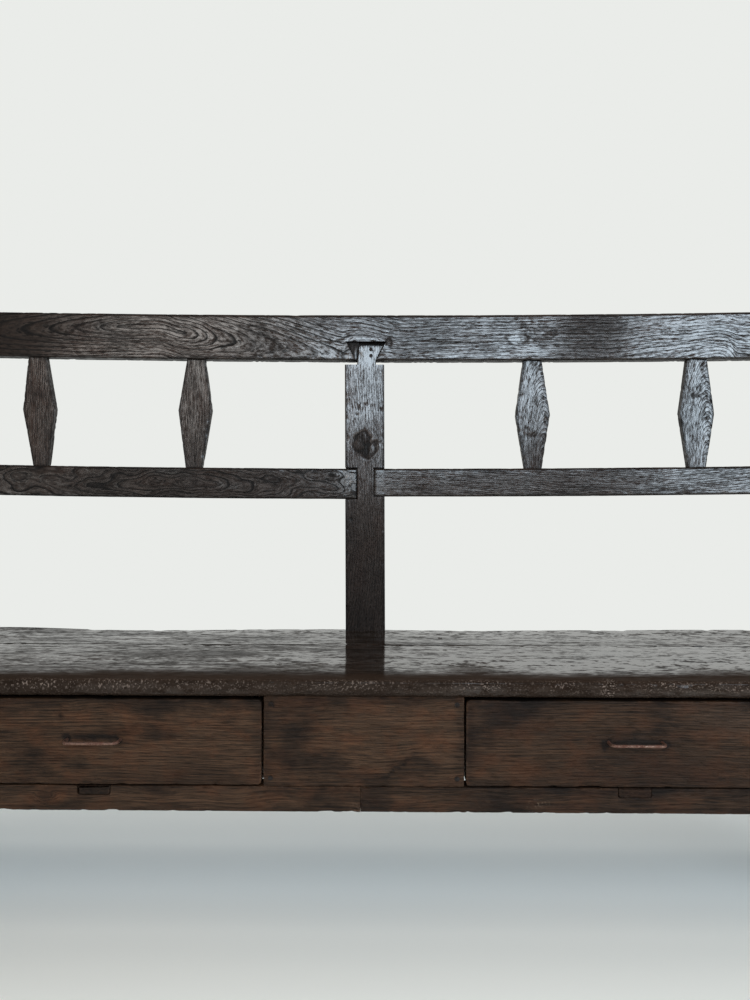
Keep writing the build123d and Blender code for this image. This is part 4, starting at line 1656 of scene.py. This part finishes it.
    def balusters(self) -> None:
        """Builds the four balusters: the left ones plain-sawn, the right ones with nested chevrons."""
        front = self.rail.low[1]
        names = ("left_outer", "left_inner", "right_inner", "right_outer")
        extents = [Extent.of(f"baluster_{name}") for name in names]
        middles = [extent.middle(Axis.X) for extent in extents]
        logs = []
        for x, aside, shift in zip(middles, (-0.060, -0.085), (0.0, 1.7)):
            hearts = (Heart(0.7, x + aside, front + 0.05), Heart(1.0, x + aside, front + 0.04))
            logs.append(Log(hearts, shift, ring=0.003))
        for x, shift in zip(middles[2:], (6.0, 7.0)):
            hearts = (Heart(0.74, x + 0.021, front + 0.013), Heart(0.94, x + 0.019, front + 0.050))
            logs.append(Log(hearts, shift, ring=0.0017, wander=0.0006))
        marks = [
            (stain_and_shade(0.875, middles[0], 0.010, 0.03, 0.3),),
            (),
            (
                stain_and_shade(0.796, middles[2] - 0.004, 0.0035, 0.010, 0.7, swirl=0.008, dent=0.001),
                polished(0.90, middles[2], 0.06, 0.04, 0.5),
                stain_and_shade(0.75, middles[2], 0.03, 0.04, 0.2),
            ),
            (
                stain_and_shade(0.873, middles[3] - 0.004, 0.0045, 0.010, 0.8, swirl=0.008, dent=0.001),
                polished(0.84, middles[3], 0.12, 0.05, 0.6),
            ),
        ]
        for i, name in enumerate(names):
            skin = extents[i].low[1] + self.face_skin
            # Painted shade on each baluster's sides and back, deeper than its front face
            sides = stain_and_shade(0.85, middles[i], ENDLESS, ENDLESS, 0.6, deeper_than=skin)
            self.baluster(f"baluster_{name}", self.lozenges[i], logs[i], (*marks[i], sides), 51 + 2 * i)

    def build(self) -> None:
        """Builds all pieces of the back."""
        self.top_rail()
        self.centre_stile()
        self.dovetail_wedge()
        self.lower_rails()
        self.balusters()


# The seat


@dataclass(frozen=True)
class Chip:
    """A pale chip on the seat's nose: its place along it, its length and its strength."""

    place: float
    long: float
    strength: float


@dataclass
class Seat:
    """Two planks, the front one with a rounded and battered nose."""

    dresser: Dresser
    front: Extent = extent_of("seat_front_plank")
    back: Extent = extent_of("seat_back_plank")
    post: Extent = extent_of("back_post_right")
    nose: Span = (0.006, 0.004)
    nose_steps: int = 5
    under: Span = (0.010, 0.010)
    sharp: Span = (0.001, 0.001)
    dull_band: float = 0.044
    post_gap: float = 0.001
    skin: float = 0.0012
    chip_breadth: float = 0.008
    chip_depth: float = 0.010
    chips: tuple[Chip, ...] = (
        Chip(-0.80, 0.10, 0.5),
        Chip(-0.46, 0.03, 0.9),
        Chip(-0.36, 0.09, 0.6),
        Chip(-0.20, 0.06, 0.4),
        Chip(-0.02, 0.05, 0.8),
        Chip(0.16, 0.03, 0.9),
        Chip(0.27, 0.02, 0.6),
        Chip(0.42, 0.03, 0.9),
        Chip(0.54, 0.07, 0.8),
        Chip(0.82, 0.12, 0.5),
    )
    wear: Wear = Wear(nick=0.0016, nick_reach=0.006, wave_length=(0.1, 0.5), nick_length=(0.01, 0.07))

    def front_plank(self) -> None:
        """Builds the wide front plank."""
        y_front = self.front.low[1]
        top = self.front.high[2]
        log = Log((
            Heart(-1.0, y_front + 0.10, top - 0.085),
            Heart(-0.35, y_front + 0.14, top - 0.06),
            Heart(0.3, y_front + 0.11, top - 0.075),
            Heart(1.0, y_front + 0.13, top - 0.09),
        ))
        marks = (
            stain_and_shade(0.0, y_front, ENDLESS, self.dull_band, 0.4, firmness=2.0),
            stain_and_shade(0.0, y_front, ENDLESS, self.dull_band, 0.3, firmness=2.0, deeper_than=top - self.skin),
            scuffed(0.0, y_front, ENDLESS, 0.006, 0.25),
            stain_and_shade(-0.50, y_front + 0.11, 0.35, 0.06, 0.12),
            stain_and_shade(-0.34, y_front + 0.05, 0.10, 0.020, 0.3),
            stain_and_shade(-0.12, y_front + 0.07, 0.11, 0.035, 0.25),
            stain_and_shade(0.16, y_front + 0.07, 0.045, 0.040, 0.4),
            stain_and_shade(0.53, y_front + 0.06, 0.09, 0.030, 0.45),
            scuffed(0.340, y_front, 0.006, 0.012, 4.0),
            polished(0.165, y_front, 0.030, 0.012, 3.0),
            polished(0.56, y_front, 0.16, 0.012, 1.2),
            polished(0.55, y_front + 0.16, 0.50, 0.14, 1.7, firmness=2.0),
            stain_and_shade(0.13, self.front.high[1], 0.15, 0.004, 0.9, firmness=3.0),
            *(
                scuffed(
                    chip.place, y_front, chip.long, self.chip_breadth, chip.strength,
                    deeper_than=top - self.chip_depth,
                )
                for chip in self.chips
            ),
        )
        plank = Board(
            "seat_front_plank", Lay.PLANK, plain(self.front, Lay.PLANK), log,
            (self.under, self.sharp, self.sharp, self.nose), end_arris=0.003, cell=0.006,
            wear=self.wear, marks=marks, arc_steps=self.nose_steps, seed=61,
        )
        self.dresser.lay(plank, SEAT_WOOD)

    def back_plank(self) -> None:
        """Builds the narrow back plank, which is tucked in between the back posts and a little warped."""
        start, tucked = self.back.span(Axis.Y)
        low, high = self.back.span(Axis.X)
        inner = self.post.low[0] - self.post_gap
        short = (start, self.post.low[1])
        long = (start, tucked)
        deep = self.back.span(Axis.Z)
        sections = (
            Section(low, short, deep),
            Section(-inner, short, deep),
            Section(-inner, long, deep),
            Section(inner, long, deep),
            Section(inner, short, deep),
            Section(high, short, deep),
        )
        warp = Warp(
            start, tucked, (-1.0, -0.70, -0.45, -0.10, 0.20, 0.38, 0.70, 1.0),
            (0.002, 0.0028, -0.003, 0.0007, -0.0012, 0.0006, 0.003, 0.002),
        )
        log = straight_log(self.back, Lay.PLANK, 0.05, -0.06, 2.3)
        marks = (
            polished(0.55, start + 0.07, 0.50, 0.14, 0.8, firmness=2.0),
            polished(-0.30, start + 0.07, 0.35, 0.14, 0.3, firmness=2.0),
        )
        plank = Board(
            "seat_back_plank", Lay.PLANK, sections, log, even(0.001, 0.002, 0.0025, 0.001),
            end_arris=0.004, cell=0.006, wear=self.wear, warp=warp, marks=marks, seed=63,
        )
        self.dresser.lay(plank, SEAT_WOOD)

    def build(self) -> None:
        """Builds both planks."""
        self.front_plank()
        self.back_plank()


# The case below the seat


@dataclass
class Case:
    """Fixed boards of the case: panels, front rails, bearers, dividers, aprons, legs and posts."""

    dresser: Dresser
    leg: Extent = extent_of("front_leg_right")
    post: Extent = extent_of("back_post_right")
    log_step: float = 0.37
    rail_log_step: float = 0.5
    bearer_radius: float = 0.004
    bearer_play: float = 0.0007
    bearer_height: float = 0.013
    arc_steps: int = 3

    @property
    def between_legs(self) -> Span:
        """Inner sides of the front legs."""
        return -self.leg.low[0], self.leg.low[0]

    def board(
        self, node: str, lay: Lay, finish: WoodFinish, across: float, through: float, seed: int,
        arris: float = 0.0015, extent: Optional[Extent] = None, marks: tuple[Mark, ...] = (),
        cell: float = 0.008,
    ) -> None:
        """Builds one plain board in place of a CAD node.

        Args:
            node: The CAD node.
            lay: How the board lies.
            finish: Its finish.
            across: Distance of the pith from the board's middle, across it.
            through: Distance of the pith from the board's middle, through it.
            seed: Seed of its wear and its place in the log.
            arris: Radius of its arrises.
            extent: Its extent, where that isn't the node's own.
            marks: Its local marks.
            cell: Size of its faces.
        """
        room = extent or Extent.of(node)
        log = straight_log(room, lay, across, through, self.log_step * seed)
        board = Board(
            node, lay, plain(room, lay), log, even(arris), end_arris=arris, cell=cell, marks=marks, seed=seed,
        )
        self.dresser.lay(board, finish)

    def panels(self) -> None:
        """Builds the centre panel and the two end panels."""
        for i, word in enumerate(SIDES):
            node = f"end_panel_{word}"
            room = Extent.of(node).within(Axis.X, self.between_legs)
            self.board(node, Lay.RAIL, DRAWER_WOOD, 0.14, 0.03, 71 + 2 * i, extent=room)
        marks = (
            stain_and_shade(-0.09, 0.375, 0.10, 0.022, 0.4),
            stain_and_shade(-0.127, 0.383, 0.003, 0.003, 1.0, dent=0.001),
            stain_and_shade(0.046, 0.294, 0.020, 0.0022, 1.0, slope=0.81, dent=0.0008),
            stain_and_shade(-0.11, 0.31, 0.05, 0.06, 0.2),
        )
        self.board("centre_panel", Lay.RAIL, DRAWER_WOOD, -0.16, 0.04, 75, marks=marks, cell=0.003)

    def front_rail(self, word: str, seed: int, marks: tuple[Mark, ...]) -> None:
        """Builds one front rail board, with the notch for its drawer bearer.

        The notch's lower corners are quarter circles, followed by a few sections.

        Args:
            word: Left or right.
            seed: Seed of its wear.
            marks: Its local marks.
        """
        node = f"front_rail_{word}"
        extent = Extent.of(node)
        bearer = Extent.of(f"drawer_bearer_{word}")
        low, high = extent.span(Axis.Z)
        start, end = extent.within(Axis.X, self.between_legs).span(Axis.X)
        left = bearer.low[0] - self.bearer_play
        right = bearer.high[0] + self.bearer_play
        run, rise = rounding(self.bearer_radius, self.arc_steps)
        climb = high - self.bearer_height + rise
        deep = extent.span(Axis.Y)
        whole = [Section(x, (low, high), deep) for x in (start, left)]
        falling = [Section(left + a, (low, z), deep) for a, z in zip(run, climb)]
        rising = [Section(right - a, (low, z), deep) for a, z in zip(run[::-1], climb[::-1])]
        rest = [Section(x, (low, high), deep) for x in (right, end)]
        aside = 0.05 if word == "left" else -0.06
        log = straight_log(extent, Lay.RAIL, aside, 0.02, self.rail_log_step * seed)
        rail = Board(
            node, Lay.RAIL, tuple(whole + falling + rising + rest), log,
            even(0.0015, 0.0008, 0.001, 0.001), end_arris=0.0, cell=0.004, marks=marks, seed=seed,
        )
        self.dresser.lay(rail, DRAWER_WOOD)

    def bearers(self) -> None:
        """Builds the two drawer bearers with their rounded lower edges."""
        arrises = even(self.bearer_radius, self.bearer_radius, 0.0008, 0.0008)
        for i, word in enumerate(SIDES):
            node = f"drawer_bearer_{word}"
            extent = Extent.of(node)
            log = straight_log(extent, Lay.BEARER, 0.0, 0.08, 4.0 + i)
            marks = (stain_and_shade(extent.low[1], extent.middle(Axis.X), 0.03, 0.06, 0.6),)
            bearer = Board(
                node, Lay.BEARER, plain(extent, Lay.BEARER), log, arrises,
                end_arris=0.001, cell=0.005, marks=marks, seed=81 + 2 * i,
            )
            self.dresser.lay(bearer, BEARER_WOOD)

    def carcass(self) -> None:
        """Builds the legs, posts, aprons, dividers and the cleat."""
        leg, post = self.leg, self.post
        for i, word in enumerate(SIDES):
            self.board(f"front_leg_{word}", Lay.POST, FRAME_WOOD, 0.05, 0.05, 91 + i, 0.0025)
            self.board(f"back_post_{word}", Lay.POST, FRAME_WOOD, -0.05, 0.05, 95 + i, 0.003)
            node = f"end_apron_{word}"
            room = Extent.of(node).within(Axis.Y, (leg.high[1], post.low[1]))
            self.board(node, Lay.SIDE, FRAME_WOOD, 0.11, 0.03, 99 + i, extent=room)
            for where in ("inner", "outer"):
                self.board(f"{where}_divider_{word}", Lay.SIDE, INNER_WOOD, 0.09, 0.04, 103 + i, cell=0.02)
        room = Extent.of("back_apron").within(Axis.X, (-post.low[0], post.low[0]))
        self.board("back_apron", Lay.RAIL, INNER_WOOD, 0.12, 0.03, 111, extent=room)
        self.board("front_rail_cleat", Lay.RAIL, INNER_WOOD, 0.05, 0.03, 113)

    def build(self) -> None:
        """Builds all fixed boards of the case."""
        self.panels()
        self.front_rail("left", 77, (
            scuffed(-0.012, 0.238, 0.004, 0.004, 0.8),
            stain_and_shade(-0.45, 0.25, 0.012, 0.008, 0.6, swirl=0.03),
        ))
        self.front_rail("right", 79, (
            scuffed(0.246, 0.2457, 0.014, 0.004, 0.5),
            stain_and_shade(0.35, 0.25, 0.3, 0.05, 0.45),
        ))
        self.bearers()
        self.carcass()


# Drawers


@dataclass
class Drawer:
    """One drawer: front, sides, back, bottom and its bent iron pull."""

    dresser: Dresser
    word: str
    seed: int
    marks: tuple[Mark, ...] = ()
    corner_radius: float = 0.005
    corner_steps: int = 5
    pith_below: float = 0.200
    pith_stray: float = 0.002
    pith_behind: float = 0.05
    front_log_step: float = 0.9
    box_log_step: float = 0.7
    side_reach: float = 0.0135
    rabbet_face: float = 0.010
    pull_bend: float = 0.007
    pull_sides: int = 14
    pull_steps: int = 8
    pull_cell: float = 0.0025
    pull_clinch: float = 0.016
    pull_swell: float = 0.04
    pull_wave: Span = (0.008, 0.05)

    @property
    def body(self) -> str:
        """CAD body of the drawer."""
        return f"{self.word}_drawer"

    def front(self) -> None:
        """Builds the drawer front: rounded corners, and rabbets behind its ends.

        Near an end its height shrinks by r - r sin(a) at the distance r - r cos(a).
        """
        node = f"{self.body}_front"
        extent = Extent.of(node)
        start, end = extent.span(Axis.X)
        low, high = extent.span(Axis.Z)
        face, back = extent.span(Axis.Y)
        away, inset = rounding(self.corner_radius, self.corner_steps)
        thin = (face, face + self.rabbet_face)
        left = [Section(start + a, (low + z, high - z), thin) for a, z in zip(away, inset)]
        right = [Section(end - a, (low + z, high - z), thin) for a, z in zip(away[::-1], inset[::-1])]
        inner = (start + self.side_reach, end - self.side_reach)
        steps = zip((inner[0], *inner, inner[1]), (thin, (face, back), (face, back), thin))
        middle = [Section(x, (low, high), depth) for x, depth in steps]
        pith, behind = low - self.pith_below, face + self.pith_behind
        log = Log((
            Heart(start, pith, behind),
            Heart((start + end) / 2, pith + self.pith_stray, behind),
            Heart(end, pith - self.pith_stray, behind),
        ), self.front_log_step * self.seed, ring=0.0042, wander=0.0004)
        board = Board(
            node, Lay.RAIL, tuple(left + middle + right), log, even(0.0015, 0.0015, 0.0008, 0.0008),
            end_arris=0.0, cell=0.004, marks=self.marks, seed=self.seed,
        )
        self.dresser.lay(board, DRAWER_WOOD, self.body)

    def box(self) -> None:
        """Builds the plain boards behind the front."""
        lays = {"left_side": Lay.SIDE, "right_side": Lay.SIDE, "back": Lay.RAIL, "bottom": Lay.PLANK}
        for i, (part, lay) in enumerate(lays.items()):
            node = f"{self.body}_{part}"
            extent = Extent.of(node)
            log = straight_log(extent, lay, 0.08, 0.03, self.box_log_step * (self.seed + i))
            board = Board(
                node, lay, plain(extent, lay), log, even(0.001), end_arris=0.001, cell=0.012,
                seed=self.seed + 3 + i,
            )
            self.dresser.lay(board, INNER_WOOD, self.body)

    def pull_line(self, extent: Extent, radius: float) -> np.ndarray:
        """Centre line of the pull: straight runs in a level plane, joined by quarter circles.

        Args:
            extent: Extent of the pull.
            radius: Radius of its rod.

        Returns:
            Points in even steps along the line, as pairs of X and Y.
        """
        outside = extent.low[1] + radius
        inside = extent.high[1] - radius
        start, end = extent.span(Axis.X)
        left, right = start + self.pull_clinch, end - self.pull_clinch
        corners = np.array([
            (start, inside), (left, inside), (left, outside),
            (right, outside), (right, inside), (end, inside),
        ])
        path = [corners[:1]]
        turn = quarter_turn(self.pull_steps)[:, None]
        for before, here, after in zip(corners[:-2], corners[1:-1], corners[2:]):
            come = (here - before) / np.linalg.norm(here - before)
            leave = (after - here) / np.linalg.norm(after - here)
            centre = here + self.pull_bend * (leave - come)
            path.append(centre + self.pull_bend * (come * np.sin(turn) - leave * np.cos(turn)))
        path.append(corners[-1:])
        line = np.concatenate(path)
        run = np.concatenate([[0.0], np.cumsum(np.linalg.norm(np.diff(line, axis=0), axis=1))])
        steady = np.linspace(0, run[-1], math.ceil(run[-1] / self.pull_cell))
        return np.stack([np.interp(steady, run, line[:, k]) for k in (0, 1)], axis=-1)

    def pull(self) -> None:
        """Builds the pull: a rod bent four times in a level plane, with clinched ends.

        Its radius swells and shrinks a little along the way, as hammered iron does.
        """
        node = f"{self.body}_pull"
        extent = Extent.of(node)
        radius = (extent.high[2] - extent.low[2]) / 2
        line = self.pull_line(extent, radius)
        ahead = np.gradient(line, axis=0)
        ahead /= np.linalg.norm(ahead, axis=1, keepdims=True)
        aside = np.stack([ahead[:, 1], -ahead[:, 0]], axis=-1)
        hammered = Ripple(self.seed, *self.pull_wave).at(np.pad(line, ((0, 0), (0, 1))))
        girth = radius * (1 - self.pull_swell + self.pull_swell * np.clip(hammered, -1, 1))
        angle = np.linspace(0, 2 * math.pi, self.pull_sides, endpoint=False)
        flat = line[:, None, :] + aside[:, None, :] * (girth[:, None] * np.cos(angle))[..., None]
        height = extent.middle(Axis.Z) + girth[:, None] * np.sin(angle)
        piece = closed_surface(f"{node}_rod", np.concatenate([flat, height[..., None]], axis=-1), True)
        weld(piece)
        self.dresser.dress(piece, IRON, self.body, node)

    def build(self) -> None:
        """Builds the whole drawer."""
        self.front()
        self.box()
        self.pull()
        self.dresser.keep(f"{self.body}_nails", NAIL_IRON)


def pull_shade_and_grime(middle: float, ends: Span, heights: Point, halves: Span) -> tuple[Mark, ...]:
    """Painted shadow of a pull on its drawer front, with painted shade in the holes at its bends and a soft
    darkening around it, partly dirt and partly painted shade.

    Args:
        middle: Place of the pull's middle.
        ends: Places of its two bends.
        heights: Heights of the painted shadow behind its bar, of the painted shade at its bends and of the
            darkening all around it.
        halves: Half the lengths of the painted shadow behind its bar and of the darkening around it.

    Returns:
        The marks.
    """
    bar, bends, around = heights
    return (
        stain_and_shade(middle, bar, halves[0], 0.004, 0.9, firmness=2.0),
        *(stain_and_shade(end, bends, 0.006, 0.005, 1.0, firmness=2.0) for end in ends),
        stain_and_shade(middle, around, halves[1], 0.012, 0.4),
    )


# Each drawer's marks hold the painted shadow and shade of its pull
LEFT_DRAWER_MARKS = (
    stain_and_shade(-0.370, 0.385, 0.035, 0.014, 0.12, swirl=0.25),
    stain_and_shade(-0.427, 0.3654, 0.004, 0.004, 0.9, dent=0.001),
    *pull_shade_and_grime(-0.380, (-0.417, -0.343), (0.3350, 0.3330, 0.3400), (0.042, 0.040)),
    stain_and_shade(-0.25, 0.285, 0.10, 0.012, 0.4),
    stain_and_shade(-0.49, 0.33, 0.05, 0.05, 0.25),
)
RIGHT_DRAWER_MARKS = (
    *pull_shade_and_grime(0.381, (0.338, 0.422), (0.3295, 0.3270, 0.3350), (0.046, 0.045)),
    stain_and_shade(0.36, 0.33, 0.30, 0.09, 0.35),
    stain_and_shade(0.20, 0.37, 0.06, 0.03, 0.4),
    stain_and_shade(0.44, 0.29, 0.12, 0.03, 0.4),
    polished(0.51, 0.365, 0.06, 0.025, 0.5),
)


# Studio


@dataclass(frozen=True)
class Softbox:
    """A flat rectangular lamp that faces a point."""

    name: str
    centre: Point
    size: Span
    radiance: float
    colour: Point
    mirrored: bool = True
    aim: Point = (0.0, 0.0, 0.6)

    def build(self) -> None:
        """Adds the lamp. Its power is pi times radiance times area."""
        lamp = bpy.data.lights.new(self.name, "AREA")
        lamp.shape = "RECTANGLE"
        lamp.size, lamp.size_y = self.size
        lamp.energy = math.pi * self.radiance * self.size[0] * self.size[1]
        lamp.color = self.colour
        holder = bpy.data.objects.new(self.name, lamp)
        holder.location = self.centre
        way = Vector(self.aim) - Vector(self.centre)
        holder.rotation_euler = way.to_track_quat("-Z", "Y").to_euler()
        holder.visible_camera = False
        holder.visible_glossy = self.mirrored
        bpy.context.scene.collection.objects.link(holder)


@dataclass
class Studio:
    """Pale floor, soft light and the camera."""

    backdrop: Colour = tint(234, 236, 233)
    floor_colour: Colour = tint(246, 246, 241)
    floor_half: float = 14.0
    fade: Span = (0.5, 1.15)
    fade_breadth: float = 0.6
    front_gloss: float = 0.06
    behind_step: Span = (-0.25, 0.35)
    above_step: Span = (0.35, 0.75)
    above_dim: float = 0.8
    fill: float = 0.2
    cool: Point = (0.72, 0.87, 1.0)
    warm: Point = (1.0, 0.97, 0.92)
    camera_place: Point = (0.02427, -1.27885, 0.67062)
    camera_yaw: float = math.radians(-0.5)
    camera_roll: float = math.radians(0.15)
    focal_pixels: float = 762.6
    picture_height: float = 1000.0
    sensor: float = 36.0

    def floor(self) -> None:
        """Adds the floor, which fades into the background away from the bench."""
        half = self.floor_half
        corners = [(-half, -half, 0.0), (half, -half, 0.0), (half, half, 0.0), (-half, half, 0.0)]
        mesh = bpy.data.meshes.new("floor")
        mesh.from_pydata(corners, [], [(0, 1, 2, 3)])
        piece = bpy.data.objects.new("floor", mesh)
        bpy.context.scene.collection.objects.link(piece)
        paint, material = Paint.material("floor")
        x, y, _ = paint.parts(paint.object_place())
        wide = x * self.fade_breadth
        away = (wide * wide + y * y).root()
        near = paint.out("ShaderNodeBsdfDiffuse", None, {"Color": self.floor_colour})
        far = paint.out("ShaderNodeEmission", None, {"Color": self.backdrop})
        both = paint.out("ShaderNodeMixShader", None, {0: away.rise(*self.fade), 1: near, 2: far})
        paint.finish("ShaderNodeOutputMaterial", both)
        mesh.materials.append(material)
        piece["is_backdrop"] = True

    def world(self) -> None:
        """Sets the background: pale to the eye, dim in front of the bench and bright behind it."""
        world = bpy.data.worlds.new("studio")
        bpy.context.scene.world = world
        world.use_nodes = True
        paint = Paint(world.node_tree)
        seen = paint.node("ShaderNodeLightPath")
        camera = Tone(paint, seen.outputs["Is Camera Ray"])
        glossy = Tone(paint, seen.outputs["Is Glossy Ray"])
        through = Tone(paint, seen.outputs["Is Transmission Ray"])
        _, back, up = paint.parts(paint.out("ShaderNodeTexCoord", None, None, "Generated"))
        behind = back.rise(*self.behind_step) * (1.0 - self.above_dim * up.rise(*self.above_step))
        shine = self.front_gloss + (1.0 - self.front_gloss) * behind
        clear = (camera + through).maths("MINIMUM", 1.0)
        level = clear + (1.0 - clear) * (glossy * shine + (1.0 - glossy) * self.fill)
        surface = paint.out("ShaderNodeBackground", None, {"Color": self.backdrop, "Strength": level})
        paint.finish("ShaderNodeOutputWorld", surface)

    def lamps(self) -> None:
        """Adds the lamps: softboxes in front, which the wax mirrors, and plain ones above and behind."""
        cool, warm = self.cool, self.warm
        boxes = (
            Softbox("front_middle", (0.35, -2.75, 1.55), (1.4, 1.1), 5.2, cool),
            Softbox("front_right", (2.15, -2.60, 1.40), (1.5, 1.6), 5.2, cool),
            Softbox("front_left", (-1.05, -2.75, 1.60), (1.3, 0.8), 1.8, warm),
            Softbox("front_high", (0.0, -2.0, 2.3), (4.0, 1.6), 2.0, warm, False),
            Softbox("ceiling", (0.2, 0.2, 3.2), (3.2, 2.0), 1.6, warm, False),
            Softbox("rear", (-0.8, 3.4, 2.9), (2.4, 1.6), 5.0, cool, False),
        )
        for box in boxes:
            box.build()

    def camera(self) -> None:
        """Adds the camera, level and turned a little to the left."""
        data = bpy.data.cameras.new("camera")
        data.sensor_width = self.sensor
        data.lens = self.sensor * self.focal_pixels / self.picture_height
        holder = bpy.data.objects.new("camera", data)
        yaw, roll = self.camera_yaw, self.camera_roll
        ahead = Vector((math.sin(yaw), math.cos(yaw), 0.0))
        level = Vector((math.cos(yaw), -math.sin(yaw), 0.0))
        up = Vector((0.0, 0.0, 1.0))
        right = level * math.cos(roll) + up * math.sin(roll)
        above = up * math.cos(roll) - level * math.sin(roll)
        turn = Matrix((right, above, -ahead)).transposed()
        holder.matrix_world = Matrix.Translation(self.camera_place) @ turn.to_4x4()
        bpy.context.scene.collection.objects.link(holder)
        bpy.context.scene.camera = holder

    def build(self) -> None:
        """Sets up the studio."""
        self.floor()
        self.world()
        self.lamps()
        self.camera()
        bpy.context.scene.view_settings.view_transform = "Standard"


def main() -> None:
    """Builds the bench's pieces in order, then the studio."""
    logging.basicConfig(level=logging.INFO, format="%(name)s %(message)s")
    cad_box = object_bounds()
    dresser = Dresser()
    RailedBack(dresser).build()
    Seat(dresser).build()
    Case(dresser).build()
    Drawer(dresser, "left", 121, LEFT_DRAWER_MARKS).build()
    Drawer(dresser, "right", 131, RIGHT_DRAWER_MARKS).build()
    for node in ("frame_pegs", "seat_pegs"):
        dresser.keep(node, PEG_WOOD)
    for node in ("case_nails", "stile_nails"):
        dresser.keep(node, NAIL_IRON)
    Studio().build()
    boxes = {"cad": cad_box, "visual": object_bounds()}
    sizes = {name: [list(corner) for corner in box] for name, box in boxes.items()}


if __name__ == "__main__":
    main()
